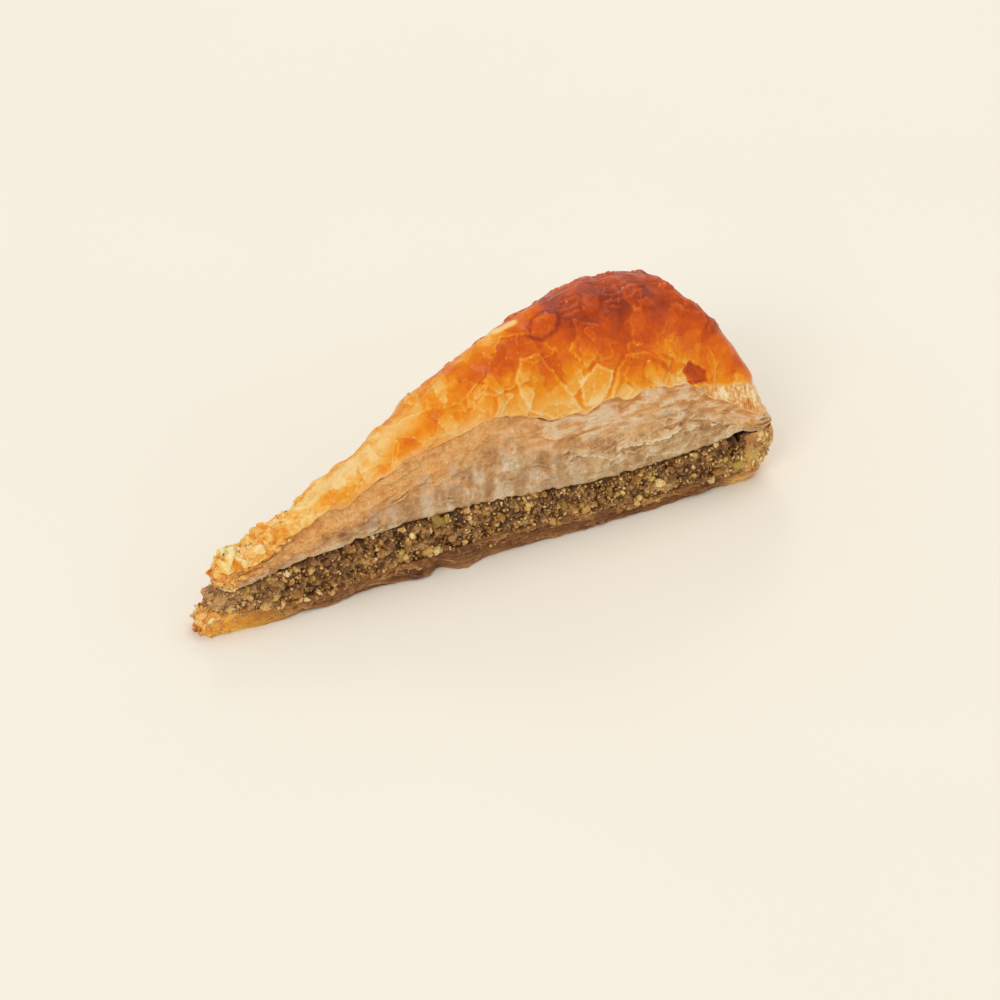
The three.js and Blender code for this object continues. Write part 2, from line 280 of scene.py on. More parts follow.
def fractal(at, size, seed, octaves=3, gain=0.5):
    """Several octaves of noise on top of each other."""
    at = scaled(at, size)
    total, strength = 0.0, 1.0
    for octave in range(octaves):
        finer = [value * 2.03**octave for value in at]
        total = total + strength * noise(finer, 1, seed + 17 * octave)
        strength *= gain
    return total


base_top = profile(BASE_TOP)
filling_top = profile(FILLING_TOP)
crust_edge = profile(CRUST_EDGE)
ridge = profile(RIDGE)


# ---- Plan outline and walls ----


def bent(start, control, end, steps=24):
    """Points of the quadratic curve from start to end."""
    t = np.linspace(0, 1, steps)[:, None]
    return (1 - t) ** 2 * start + 2 * t * (1 - t) * control + t**2 * end


def half_width(x):
    """Half the plan's width at x."""
    return lerp(TIP_WIDTH, RIM_WIDTH, share_along(x)) / 2


class Plan:
    """Evenly spaced points of a layer's outline from above, from the tip round the front.

    Point i and point count - i mirror each other.
    """

    def __init__(self, half_steps, tip=TIP_X, rim=RIM_X, corner=RIM_CORNER, bow=RIM_BOW):
        tip_half = half_width(tip)
        rim_half = half_width(rim)
        side = np.array([rim - tip, tip_half - rim_half])
        side = side / np.linalg.norm(side)
        tip_corner = np.array([tip, -tip_half])
        rim_corner = np.array([rim, -rim_half])
        bow_start = rim_corner + (bow / 2, corner)
        line = np.concatenate([
            [[tip, 0.0]],
            bent(tip_corner + (0, TIP_CORNER), tip_corner, tip_corner + side * TIP_CORNER),
            bent(rim_corner - side * corner, rim_corner, bow_start),
            bent(bow_start, np.array([rim + bow, bow_start[1] / 2]), np.array([rim + bow, 0.0])),
        ])
        travelled = np.r_[0, np.cumsum(np.linalg.norm(np.diff(line, axis=0), axis=1))]
        at = np.linspace(0, travelled[-1], half_steps + 1)
        half = np.stack([np.interp(at, travelled, line[:, k]) for k in (0, 1)], 1)
        points = np.concatenate([half, half[-2:0:-1] * (1, -1)])
        along = np.roll(points, -1, 0) - np.roll(points, 1, 0)
        along /= np.linalg.norm(along, axis=1)[:, None]
        self.count = len(points)
        self.x, self.y = points.T
        self.out_x, self.out_y = along[:, 1], -along[:, 0]
        self.s = np.arange(self.count) * travelled[-1] / half_steps

    def spot(self, i):
        """The one point i of the outline."""
        return self.run(i, 1)

    def run(self, start, count):
        """The part of the outline with count points from point start on."""
        chosen = (start + np.arange(count)) % self.count
        part = copy.copy(self)
        part.count = count
        for key in ("x", "y", "out_x", "out_y", "s"):
            setattr(part, key, getattr(self, key)[chosen])
        return part


def leaf_plan(half_steps):
    """The outline of the leaf stack and the crust, which start behind the base's tip."""
    return Plan(half_steps, tip=TIP_X + LEAF_RECESS)


def rim_share(x):
    """0 along the sides and 1 at the rim, where the walls bulge."""
    return clamp((x - RIM_ZONE[0]) / (RIM_ZONE[1] - RIM_ZONE[0]))


def wall_point(plan, z, push, bulge=1):
    """Where the wall stands at height z above each outline point, pushed out by push."""
    x, y = plan.x, plan.y
    rise = clamp(z / crust_edge(x))
    rimward = rim_share(x) * bulge
    lean = lerp(LEAN_AT_TIP, LEAN_AT_RIM, clamp(share_along(x)))
    lean_rise = clamp((rise - LEAN_START) / (1 - LEAN_START)) ** LEAN_POWER
    near_tip = bump(x - BASE_SPREAD_AT, BASE_SPREAD_SPAN)
    spread = BASE_SPREAD * near_tip * clamp(BASE_SPREAD_TOP - rise)
    sideways = spread * np.clip(y / BASE_SPREAD_EASE, -1, 1)
    facing_rim = clamp(plan.out_x) * rimward
    swell = RIM_BULGE * np.sin(RIM_BULGE_TURN * rise) * facing_rim + push
    flat_y = (y + sideways) * (1 - lean * lean_rise * (1 - rimward))
    return np.stack(np.broadcast_arrays(x + plan.out_x * swell, flat_y + plan.out_y * swell, z), -1)


def foot_height(plan):
    """Where the leaves start, just above the filling."""
    return filling_top(plan.x) + GAP


def crust_height(plan):
    """Where the leaves end and the crust starts; ragged except at the rim."""
    return crust_edge(plan.x) + LIP_RAGGED * wave(plan.s, LIP_WAVE, 1.3) * (1 - rim_share(plan.x))


# ---- Meshes ----


def grid_normals(points):
    """Outward normals of a grid of rings, which closes round along its second axis."""
    along = np.roll(points, -1, 1) - np.roll(points, 1, 1)
    up = np.gradient(points, axis=0)
    normals = np.cross(along, up)
    return normals / np.maximum(np.linalg.norm(normals, axis=2), 1e-9)[..., None]


def ring_faces(rows, count):
    """Quads between neighbouring rings of count points."""
    ring = np.arange(rows - 1)[:, None] * count
    here = np.arange(count)[None, :]
    after = (here + 1) % count
    corners = (ring + here, ring + after, ring + count + after, ring + count + here)
    return np.stack(np.broadcast_arrays(*corners), -1).reshape(-1, 4).tolist()


def strip_faces(start, count, facing_up):
    """Closes a ring by strips from every point to its mirror point."""
    i = np.arange(1, count // 2 - 1)
    quads = (start + np.stack([i, i + 1, count - i - 1, count - i], -1)).tolist()
    half = count // 2
    ends = [[0, 1, count - 1], [half - 1, half, half + 1]]
    faces = quads + [[start + k for k in end] for end in ends]
    return faces if facing_up else [face[::-1] for face in faces]


def block_faces(rows, count):
    """A closed block through rings of points."""
    floor = strip_faces(0, count, False)
    lid = strip_faces((rows - 1) * count, count, True)
    return ring_faces(rows, count) + floor + lid


def thin_sheet(grid, thickness):
    """Points and faces of a thin closed sheet whose upper side is the grid."""
    across = np.gradient(grid, axis=0)
    along = np.gradient(grid, axis=1)
    normals = np.cross(across, along)
    normals /= np.maximum(np.linalg.norm(normals, axis=2), 1e-9)[..., None]
    points = np.concatenate([grid.reshape(-1, 3), (grid - normals * thickness).reshape(-1, 3)])
    rows, columns = grid.shape[:2]
    ids = np.arange(rows * columns).reshape(rows, columns)
    upper = np.stack([ids[:-1, :-1], ids[1:, :-1], ids[1:, 1:], ids[:-1, 1:]], -1).reshape(-1, 4)
    border = np.r_[ids[0, :-1], ids[:-1, -1], ids[-1, :0:-1], ids[:0:-1, 0]]
    ahead = np.roll(border, -1)
    under = rows * columns
    rim = np.stack([border, ahead, ahead + under, border + under], -1)
    return points, np.concatenate([upper, upper[:, ::-1] + under, rim])


class Heap:
    """Gathers many small closed shapes, with their tones, into one mesh."""

    def __init__(self):
        self.points, self.faces, self.tones = [], [], {}
        self.total = 0

    def add(self, points, faces, **tones):
        self.points.append(points)
        self.faces.extend((np.asarray(faces) + self.total).tolist())
        self.total += len(points)
        for label, value in tones.items():
            self.tones.setdefault(label, []).append(np.broadcast_to(value, len(points)))

    def mesh(self, name, sharp=False):
        tones = {label: np.concatenate(values) for label, values in self.tones.items()}
        return make_mesh(name, np.concatenate(self.points), self.faces, tones, sharp)


def make_mesh(name, points, faces, tones, sharp=False):
    """An object in metres from a list or grid of points in millimetres.

    Each tone becomes a float attribute with one value per point; values for a grid's rows or
    columns alone are spread over all of it.
    """
    mesh = bpy.data.meshes.new(name)
    mesh.from_pydata(((points.reshape(-1, 3) - (CENTRE_X, 0, 0)) * MM).tolist(), [], faces)
    mesh.polygons.foreach_set("use_smooth", np.full(len(mesh.polygons), not sharp))
    for label, values in tones.items():
        layer = mesh.attributes.new(label, "FLOAT", "POINT")
        spread = np.broadcast_to(values, points.shape[:-1])
        layer.data.foreach_set("value", spread.astype(np.float32).reshape(-1))
    mesh.update()
    piece = bpy.data.objects.new(name, mesh)
    bpy.context.scene.collection.objects.link(piece)
    return piece


def weld(piece):
    """Joins points that lie on each other, as at the crest, where both sides meet."""
    shape = bmesh.new()
    shape.from_mesh(piece.data)
    bmesh.ops.remove_doubles(shape, verts=shape.verts, dist=WELD_REACH * MM)
    shape.to_mesh(piece.data)
    shape.free()
    return piece


# ---- Torn sheets on a surface ----


def tangents(out):
    """The level and the climbing direction on a surface that faces out."""
    level = np.cross((0, 0, 1) if abs(out[2]) < 0.95 else (0, -1, 0), out)
    level = level / np.linalg.norm(level)
    return level, np.cross(out, level)


def lay_sheets(points, normals, rng, pile, weight=None):
    """Piles torn, many-sided sheets on a surface, each round one of its points.

    A sheet grows out of the surface on one side and hangs free on the other, which is the
    lower side turned by a random angle (swing). Returns how far the pile lifts each point,
    the tone of the topmost sheet there (from -1 to 1, and 0 where there is none), and how
    near a free edge the point is.
    """
    shape = points.shape[:-1]
    flat, facing = points.reshape(-1, 3), normals.reshape(-1, 3)
    lift, tone, edge = np.zeros((3, len(flat)))
    wobble = pile.ragged * fractal(flat.T, 1.7, 61, octaves=2)
    for seat in scatter_seats(rng, pile.count, shape, pile.rows, weight):
        half_long = rng.uniform(*pile.length) / 2
        half_tall = rng.uniform(*pile.height) / 2
        level, climb = tangents(facing[seat])
        turn = rng.normal(0, pile.slant)
        level, climb = (
            math.cos(turn) * level + math.sin(turn) * climb,
            math.cos(turn) * climb - math.sin(turn) * level,
        )
        reach = 1.3 * max(half_long, half_tall)
        near = np.flatnonzero(np.linalg.norm(flat - flat[seat], axis=1) < reach)
        offset = flat[near] - flat[seat]
        along, up = offset @ level / half_long, offset @ climb / half_tall
        inside = sheet_sides(rng, along, up) * min(half_long, half_tall) + wobble[near]
        free = rng.normal(0, pile.swing)
        loose = smooth(-0.9, 0.5, along * math.sin(free) - up * math.cos(free))
        same_side = facing[near] @ facing[seat] > 0.3
        cover = smooth(0, 0.25, inside) * same_side
        lift[near] += rng.uniform(*pile.thickness) * cover * loose
        tone[near] = lerp(tone[near], rng.uniform(-1, 1), cover * smooth(0, 0.5, loose))
        edge[near] = np.maximum(edge[near] * (1 - cover), bump(inside - 0.2, 0.25) * cover * loose)
    return lift.reshape(shape), tone.reshape(shape), edge.reshape(shape)


def scatter_seats(rng, count, shape, rows, weight):
    """Random points of a grid, as numbers, in a share of its rows."""
    first, last = (int(share * (shape[0] - 1)) for share in rows)
    row = rng.integers(first, last + 1, count)
    column = rng.choice(shape[1], count, p=weight)
    return row * shape[1] + column


def sheet_sides(rng, along, up):
    """How far points (shares of a sheet's half sizes) lie inside its random, straight sides."""
    sides = rng.integers(4, 7)
    uneven = rng.uniform(-0.3, 0.3, sides)
    angles = (np.arange(sides) + uneven) * 2 * math.pi / sides + rng.uniform(0, 6)
    inside = np.full(len(along), 9.0)
    for angle in angles:
        gap = rng.uniform(0.65, 1) - along * math.cos(angle) - up * math.sin(angle)
        inside = np.minimum(inside, gap)
    return inside


def hollows(relief, reach):
    """How far each point of a grid lies below its neighbourhood."""
    blurred = relief
    for _ in range(reach):
        level = blurred + np.roll(blurred, 1, 1) + np.roll(blurred, -1, 1)
        padded = np.pad(level, ((1, 1), (0, 0)), mode="edge")
        blurred = (padded[:-2] + padded[1:-1] + padded[2:]) / 9
    return blurred - relief


def wall_tones(plan, level, relief, tone, edge):
    """What the materials of the leaf walls need to know about each point, including where they paint shade
    in hollows and a highlight near free edges.
    """
    return {
        "level": level,
        # painted shade: the materials darken points that lie below their neighbourhood
        "deep": clamp(0.5 + 0.9 * hollows(relief, 5)),
        "sheet": 0.5 + 0.5 * tone,
        # painted highlight: the materials lighten points near a free edge
        "edge": edge,
        "along": share_along(plan.x),
    }


# ---- Pale leaves of the cut faces ----


def ledge(plan, band):
    """How far one leaf stack stands out."""
    turn = 0.5 if band % 2 else -0.5
    return LEAF_STEP * (turn + 0.7 * wave(plan.s, LEAF_WAVE + 9 * band, 2.9 * band))


def ledges(plan, level):
    """How far the leaf stacks stand out at a level from 0 at the foot to 1."""
    climbed = level * LEAF_BANDS
    push = ledge(plan, 0) + 0 * climbed
    for band in range(1, LEAF_BANDS):
        edge = band + LEAF_WANDER * wave(plan.s, LEAF_WANDER_WAVE, 2.2 * band)
        push += smooth(edge, edge + LEAF_SLOPE, climbed) * (ledge(plan, band) - ledge(plan, band - 1))
    return push


def leaf_lines(at):
    """Thin level lines of single leaves, which fade in and out."""
    drift = 0.7 * noise(at, (14, 14, 6), 5) + 0.25 * noise(at, (3.5, 3.5, 2.5), 6)
    strength = smooth(-0.3, 0.6, noise(at, (16, 16, 4), 7))
    cycle = ((at[2] + drift) / 0.85) % 1
    return strength * (smooth(0, 0.75, cycle) - smooth(0.8, 1, cycle) - 0.4)


def leaf_foot(plan):
    """The leaf stack's lower edge, which is frayed a little."""
    at = (plan.x, plan.y, 0)
    fray = 0.5 * noise(at, 6, 15) + 0.5 * noise(at, 1.8, 16)
    return foot_height(plan) + np.clip(0.1 + fray, 0, 0.9)


def leaf_stack():
    """The pale stack of leaves, with ledges and torn films on its cut faces."""
    rows = 96
    rng = np.random.default_rng(11)
    plan = leaf_plan(WALL_STEPS)
    level = np.linspace(0, 1, rows)[:, None]
    foot = leaf_foot(plan)
    height = crust_height(plan) - foot
    at = (plan.x, plan.y, level * height)
    wall = wall_point(plan, foot + height * level, 0.45 * ledges(plan, level))
    normals = grid_normals(wall)
    lift, tone, edge = lay_sheets(wall, normals, rng, LEAF_SHEETS)
    soft_band = smooth(0.05, 0.16, level + 0.06 * noise((plan.x, plan.y, 0), 12, 8))
    wrinkles = fractal(at, (1.1, 1.1, 4), 12, octaves=2) * smooth(0.1, 0.8, tone)
    clouds = fractal(at, (4, 4, 3), 9, octaves=4, gain=0.6)
    relief = (lift - 0.4) * lerp(0.35, 1, soft_band) + lerp(0.06, 0.14, soft_band) * clouds
    relief += 0.3 * noise(at, (7, 7, 5), 14) + 0.07 * leaf_lines(at) + 0.16 * wrinkles * soft_band
    under = smooth(0.04, 0, level)
    points = wall + normals * (relief * (1 - under) - 0.45 * under)[..., None]
    tones = wall_tones(plan, level, relief, tone, edge)
    tones["cloud"] = 0.5 + 0.5 * clouds
    return make_mesh("leaf_stack", points, block_faces(rows, plan.count), tones)


def leaf_ribbons():
    """Single thin leaves that stand a little out of the cut faces."""
    rng = np.random.default_rng(21)
    plan = leaf_plan(RIBBON_STEPS)
    heap = Heap()
    for _ in range(RIBBONS):
        count = int(rng.integers(8, 36))
        run = plan.run(rng.integers(plan.count), count)
        level = rng.uniform(0.05, 0.97) + 0.04 * wave(run.s, 19, rng.uniform(0, 6))
        z = lerp(foot_height(run), crust_height(run), np.clip(level, 0.01, 0.99))
        push = 0.55 * ledges(run, level) - 0.6
        taper = np.sin(math.pi * np.linspace(0, 1, count)) ** 0.5
        width = rng.uniform(0.6, 1.1) * taper
        ragged = 0.8 + 0.4 * noise((run.x, run.y, rng.uniform(0, 99)), (1.8, 1.8, 1), 22)
        droop = rng.uniform(0, 0.7)
        rows = [wall_point(run, z - droop * t * t, push + width * ragged * t) for t in (1, 0.6, 0)]
        points, faces = thin_sheet(np.stack(rows), rng.uniform(0.06, 0.14))
        # each ribbon gets a constant painted edge highlight and painted hollow shade
        heap.add(points, faces, sheet=rng.uniform(0.3, 1), edge=0.3, deep=0.5, cloud=0.5,
                 level=np.tile(level, 6), along=np.tile(share_along(run.x), 6))
    return heap.mesh("leaf_ribbons")


def flake(rng, middle, out, long, tall):
    """A thin bit of leaf that faces out and mostly hugs what it lies on."""
    steps = np.linspace(-1, 1, 6)
    across, along = np.meshgrid(steps, steps, indexing="ij")
    border = np.maximum(abs(across), abs(along)) > 0.9
    out = out + rng.normal(0, 0.2, 3)
    out = out / np.linalg.norm(out)
    level_way, climb_way = tangents(out)
    jitter = 1 + rng.uniform(-0.3, 0.3, across.shape) * border
    sideways = long * along * (1 - 0.4 * across**2) * jitter
    upward = tall * across * (1 - 0.4 * along**2) * jitter
    curl = rng.uniform(-0.6, 0.15) * long * along**2 + rng.uniform(-0.6, 0.15) * tall * across**2
    curl = curl + rng.uniform(-0.06, 0.06, across.shape)
    grid = middle + sideways[..., None] * level_way + upward[..., None] * climb_way + curl[..., None] * out
    return thin_sheet(grid, 0.12)


def flake_chance(plan):
    """Where flakes stand off: at the tip, and fewer behind it."""
    from_tip = plan.x - plan.x.min()
    chance = 5 * bump(from_tip, 5) + 1.2 * bump(from_tip - 8, 9)
    return chance / chance.sum()


def flakes():
    """Small bits that fray off the leaves and the crust, most at the tip."""
    rng = np.random.default_rng(25)
    plan = leaf_plan(BIT_STEPS)
    chance = flake_chance(plan)
    heap = Heap()
    for _ in range(FLAKES):
        place = plan.spot(rng.choice(plan.count, p=chance))
        share = 0
        if place.x[0] > FRAYED_TO or rng.uniform(0, 1) < 0.5:
            share = rng.uniform(0.05, 0.95)
            edge = wall_point(place, crust_height(place), LIP_REACH)
            middle = dome(place, edge, np.array([share * math.pi / 2]))[0, 0]
        else:
            z = lerp(foot_height(place), crust_height(place), rng.uniform(0.1, 1))
            middle = wall_point(place, z, rng.uniform(-0.5, 0.1))[0]
        out = np.array([place.out_x[0], place.out_y[0], 1.5 * share + rng.uniform(0, 0.4)])
        size = rng.uniform(0.3, 1) * lerp(1, 0.6, smooth(-66, -50, place.x[0]))
        points, faces = flake(rng, middle, out, 2.6 * size, 1.7 * size)
        # painted highlight: flakes higher up the dome are paler
        heap.add(points, faces, shade=rng.uniform(0.05, 0.6) + 0.25 * share)
    return heap.mesh("flakes")


def tip_bits():
    """Frayed bits on and round the base's tip."""
    rng = np.random.default_rng(26)
    plan = Plan(BIT_STEPS)
    chance = bump(plan.x - plan.x.min(), 4.5)
    heap = Heap()
    for _ in range(TIP_BITS):
        place = plan.spot(rng.choice(plan.count, p=chance / chance.sum()))
        level = rng.uniform(0.1, 1.2)
        on_top = level > 0.9
        inset = rng.uniform(0, 3) * on_top
        z = base_top(place.x) * min(level, 1.0)
        middle = wall_point(place, z, rng.uniform(-1.3, -0.6) - inset)[0]
        out = np.array([place.out_x[0], place.out_y[0], 1.5 * on_top + rng.uniform(-0.2, 0.6)])
        size = rng.uniform(0.35, 1)
        points, faces = flake(rng, middle, out, 3 * size, 1.8 * size)
        points[:, 2] = np.maximum(points[:, 2], 0.02)
        # painted highlight: bits on top of the base are paler
        heap.add(points, faces, shade=rng.uniform(0, 0.45) + 0.35 * on_top)
    return heap.mesh("tip_bits")


# ---- Crust ----


def dome(plan, edge_points, turns):
    """Rings of the crust's dome from its edge to the crest."""
    inward = 1 - np.cos(turns) ** DOME_INWARD_POWER
    upward = np.sin(turns) ** DOME_UPWARD_POWER
    crest_from, crest_to = TIP_X + DOME_SHORT[0], RIM_X - DOME_SHORT[1]
    along = clamp((plan.x - crest_from) / (crest_to - crest_from))
    crest_x = lerp(RIDGE_FROM, RIDGE_TO, along)
    crest_z = np.maximum(ridge(crest_x), edge_points[:, 2] + CREST_RISE)
    crest = np.stack([crest_x, np.zeros_like(crest_x), crest_z], -1)
    shares = np.stack([inward, inward, upward], -1)[:, None, :]
    return edge_points + (crest - edge_points) * shares


def blisters(rng, count, radius, height, at):
    """Round bubbles baked into the crust, some with a collapsed middle."""
    x, y, _ = at
    total = np.zeros(x.shape)
    for _ in range(count):
        at_x = rng.uniform(-55, 70)
        at_y = half_width(at_x) * rng.uniform(-0.85, 0.85)
        size, tall, collapsed = rng.uniform(*radius), rng.uniform(*height), rng.uniform(0, 1)
        stretch, turn = rng.uniform(1, 1.7), rng.uniform(0, math.pi)
        a = ((x - at_x) * math.cos(turn) + (y - at_y) * math.sin(turn)) / size / stretch
        b = ((y - at_y) * math.cos(turn) - (x - at_x) * math.sin(turn)) / size
        distance = np.hypot(a, b)
        total += tall * (smooth(1.15, 0.55, distance) - collapsed * bump(distance, 0.5))
    return total


def polygon_depth(x, z, corners):
    """How far a point lies inside a convex polygon of (x, z) corners, in millimetres."""
    depth = np.full(np.broadcast(x, z).shape, 99.0)
    for (from_x, from_z), (to_x, to_z) in zip(corners, corners[1:] + corners[:1]):
        turned = (to_x - from_x) * (z - from_z) - (to_z - from_z) * (x - from_x)
        depth = np.minimum(depth, turned / math.hypot(to_x - from_x, to_z - from_z))
    return depth


def crust_marks(at):
    """The torn patch, big sheets, blister, fold with its painted glint, and flap seen on the crust's front.

    Returns what they add to the relief (mm), to the brownness (with painted shade round the blister's
    foot and a painted glint along the fold), to the free edges (a painted highlight), and how pale and
    stringy the crust is below the flap.
    """
    x, y, z = at
    front = smooth(1, -1, y)
    rough = fractal(at, 1.5, 33)
    patch = front * smooth(-0.25, 0.25, polygon_depth(x, z, TORN_PATCH) + 0.35 * rough)
    lift, brown, edge = -0.35 * patch, 0.45 * patch, 0 * patch
    for tint, corners in BIG_SHEETS:
        depth = polygon_depth(x, z, corners) + 0.3 * rough
        cover = front * smooth(-0.2, 0.3, depth)
        lift = lift + 0.3 * cover - 0.12 * front * bump(depth + 0.6, 0.5)
        brown = brown + tint * cover
        edge = np.maximum(edge, front * bump(depth - 0.2, 0.3))
    blister_x, blister_y, blister_long, blister_wide = BLISTER
    away = np.hypot((x - blister_x) / blister_long, (y - blister_y) / blister_wide) + 0.1 * rough
    fold_from, fold_to = np.array(GLINT_FOLD)
    way = fold_to - fold_from
    share = clamp(((x - fold_from[0]) * way[0] + (y - fold_from[1]) * way[1]) / (way @ way))
    beside = np.hypot(x - fold_from[0] - share * way[0], y - fold_from[1] - share * way[1])
    fold = bump(beside, 0.7) * smooth(0, 0.3, share) * smooth(1, 0.7, share)
    flap_from, flap_to = FLAP
    flap_share = (x - flap_from[0]) / (flap_to[0] - flap_from[0])
    line = lerp(flap_from[1], flap_to[1], flap_share) + 0.5 * rough
    below = smooth(line + 0.25, line - 0.25, z) * smooth(flap_from[0] - 3, flap_from[0], x)
    below = below * smooth(-8, -18, y + 6 * noise(at, 9, 34))
    edge = np.maximum(edge, bump(z - line - 0.3, 0.3) * below.max(axis=0))
    lift = lift + 0.8 * smooth(1.1, 0.6, away) + 0.6 * fold - 0.4 * below
    # painted shade: a darker ring round the blister's foot; painted glint: the fold and a wider band round
    # it are made paler
    brown = brown + 0.25 * bump(away - 1.05, 0.15) - 1.3 * fold - 0.3 * bump(beside, 4)
    return lift, brown, edge, below


def crust_shell(plan, share):
    """Rings of points from under the crust's lip up to its crest, at these shares of the dome."""
    at = (plan.x, plan.y, 0)
    edge_z = crust_height(plan) + 0.8 * fractal(at, 5, 31) * (1 - rim_share(plan.x))
    reach = LIP_REACH * (0.55 + 0.35 * noise(at, 6, 32)) * lerp(0.35, 1, smooth(-25, 5, plan.x))
    lip = np.stack([wall_point(plan, edge_z + up, reach * out) for up, out in LIP])
    return np.concatenate([lip, dome(plan, lip[-1], share * math.pi / 2)])


def crest_arcs(at, turn, crinkle):
    """Curved leaf edges near the crest's rim end: their relief, and how near one is."""
    cycle = (13 * turn + 1.2 * noise(at, 14, 26) + 0.25 * crinkle) % 1
    shown = smooth(0.6, 0.75, noise(at, 9, 27) + 0.7) * smooth(0.55, 0.7, turn) * smooth(25, 40, at[0])
    return smooth(0, 0.8, cycle) * smooth(1, 0.9, cycle) * shown, bump(cycle - 0.85, 0.08) * shown


def crust():
    """The glazed crust: tongues along its edge, sheets, bubbles, cracks and marks."""
    rng = np.random.default_rng(31)
    plan = leaf_plan(CRUST_STEPS)
    share = np.arange(1, DOME_ROWS + 1) / DOME_ROWS
    turn = np.r_[np.zeros(len(LIP)), share][:, None]
    shell = crust_shell(plan, share)
    normals = grid_normals(shell)
    normals[-1] = (0, 0, 1)
    at = np.moveaxis(shell, -1, 0)
    x, y, _ = at
    near_tip = bump(plan.x - plan.x.min(), 18)
    lower = lay_sheets(shell, normals, rng, CRUST_TONGUES)
    upper = lay_sheets(shell, normals, rng, CRUST_SHEETS)
    small = lay_sheets(shell, normals, rng, TIP_SHEETS, near_tip / near_tip.sum())
    bubbles = blisters(rng, 22, (2, 4.5), (0.3, 0.8), at)
    bubbles += blisters(rng, 60, (0.5, 1.3), (0.05, 0.16), at)
    cracks = bump(noise(at, 8, 22), 0.05) + 0.6 * bump(noise(at, 4, 23), 0.06)
    crinkle = fractal(at, 2.2, 25)
    high = smooth(0.1, 0.5, turn)
    swells = 0.25 * (wave(x + 0.6 * y, 19, 0.7) + wave(y - 0.4 * x, 13, 2.6)) * high
    arcs, arc_edge = crest_arcs(at, turn, crinkle)
    mark_lift, mark_brown, mark_edge, stringy = crust_marks(at)
    relief = lower[0] + upper[0] + bubbles * high + 0.05 * crinkle - 0.1 * cracks * high + 0.35 * arcs
    relief = relief * lerp(0.45, 1, smooth(-50, 10, x)) + 0.8 * small[0] + mark_lift
    relief = (relief - 0.5) * smooth(0, 0.06, turn) * smooth(1, 0.85, turn) + swells
    points = shell + normals * relief[..., None]
    tones = {
        "turn": turn,
        # painted shade: the crust's colour is browner in hollows
        "deep": clamp(0.5 + 1.2 * hollows(relief, 4)),
        "sheet": 0.5 + 0.3 * lower[1] + 0.2 * upper[1] + 0.4 * small[1],
        # painted highlight: the crust's colour is paler near free sheet edges, the flap's edge and the
        # crest's arcs
        "edge": np.max([lower[2], upper[2], small[2], mark_edge, arc_edge], axis=0),
        "along": share_along(x),
        "brown": mark_brown,
        "stringy": stringy,
    }
    faces = ring_faces(len(shell), plan.count) + strip_faces(0, plan.count, False)
    return weld(make_mesh("crust", points, faces, tones))


# ---- Base and filling ----


def base_edge(plan):
    """How far the base's edge wanders in and out."""
    wander = 0.35 * wave(plan.s, 17, 0.4)
    front = wander + sum(reach * bump(plan.x - x, span) for x, reach, span in BASE_TABS)
    return np.where(plan.y > 0, wander + 0.8 * wave(plan.s, 29, 2.1), front)


def base_leaves():
    """The soaked base: a low wall of leaf edges all round, up to the filling."""
    rows = 40
    rng = np.random.default_rng(41)
    plan = Plan(WALL_STEPS)
    level = np.linspace(0, 1, rows)[:, None]
    z = (base_top(plan.x) + GAP) * level
    at = (plan.x, plan.y, z)
    share = np.interp(level, [0, 0.22, 0.45, 0.75, 1], [0.7, 1, 0.35, 0.5, 0.1])
    wall = wall_point(plan, z, share * base_edge(plan))
    normals = grid_normals(wall)
    lift, tone, edge = lay_sheets(wall, normals, rng, BASE_SHEETS)
    cycle = ((z + 0.5 * noise(at, (9, 9, 3), 43)) / 0.7) % 1
    lines = smooth(0, 0.7, cycle) - smooth(0.8, 1, cycle)
    relief = lift - 0.5 + 0.1 * noise(at, (1.8, 1.8, 2.4), 42) + 0.1 * (lines - 0.5)
    relief += 0.1 * fractal(at, (1.4, 1.4, 1.2), 44)
    relief -= 0.6 * smooth(0.93, 1, level) + 0.3 * smooth(0.06, 0, level)
    points = wall + normals * relief[..., None]
    points[..., 2] = np.maximum(points[..., 2], 0)
    tones = wall_tones(plan, level, relief, tone, edge)
    return make_mesh("base_leaves", points, block_faces(rows, plan.count), tones)


def rim_leaves():
    """The base's leaves that stand up against the tray's rim, one behind the other."""
    rng = np.random.default_rng(45)
    shares = np.linspace(1, 0, 18)
    heap = Heap()
    for inset in np.arange(0.2, RIM_WALL, 0.5):
        depth = inset / RIM_WALL
        corner, bow = lerp(RIM_CORNER, 1, depth), lerp(RIM_BOW, 0, depth)
        plan = Plan(BIT_STEPS, rim=RIM_X - inset, corner=corner, bow=bow)
        short = 0.2 + 0.6 * rng.uniform(0, 1) * (inset < 1)
        start = np.argmax(plan.x > RIM_X - RIM_WALL - short)
        run = plan.run(start, plan.count - 2 * start + 1)
        foot = base_top(run.x) - 0.6
        top = filling_top(run.x) + 0.2 - rng.uniform(0, 2.5) * (inset > 0.6)
        top = top + (0.6 + depth) * fractal((run.s, inset * 7, 0), (3, 1, 1), 46)
        top = np.minimum(top, filling_top(run.x) + 0.4)
        rows = []
        for share in shares:
            sway = 0.5 * noise((run.s, share * 1.5, inset * 5), (6, 1, 1), 47)
            sway += 0.35 * fractal((run.s, share * 4, inset), (2, 1, 1), 48)
            rows.append(wall_point(run, lerp(foot, top, share), sway - 0.4))
        points, faces = thin_sheet(np.stack(rows), rng.uniform(0.15, 0.4))
        level = np.tile(np.repeat(shares, run.count), 2)
        # each sheet gets a constant painted edge highlight and a little painted hollow shade
        heap.add(points, faces, sheet=rng.uniform(0.3, 1), edge=0.4, deep=0.2, level=level, along=0.97)
    return heap.mesh("rim_leaves")


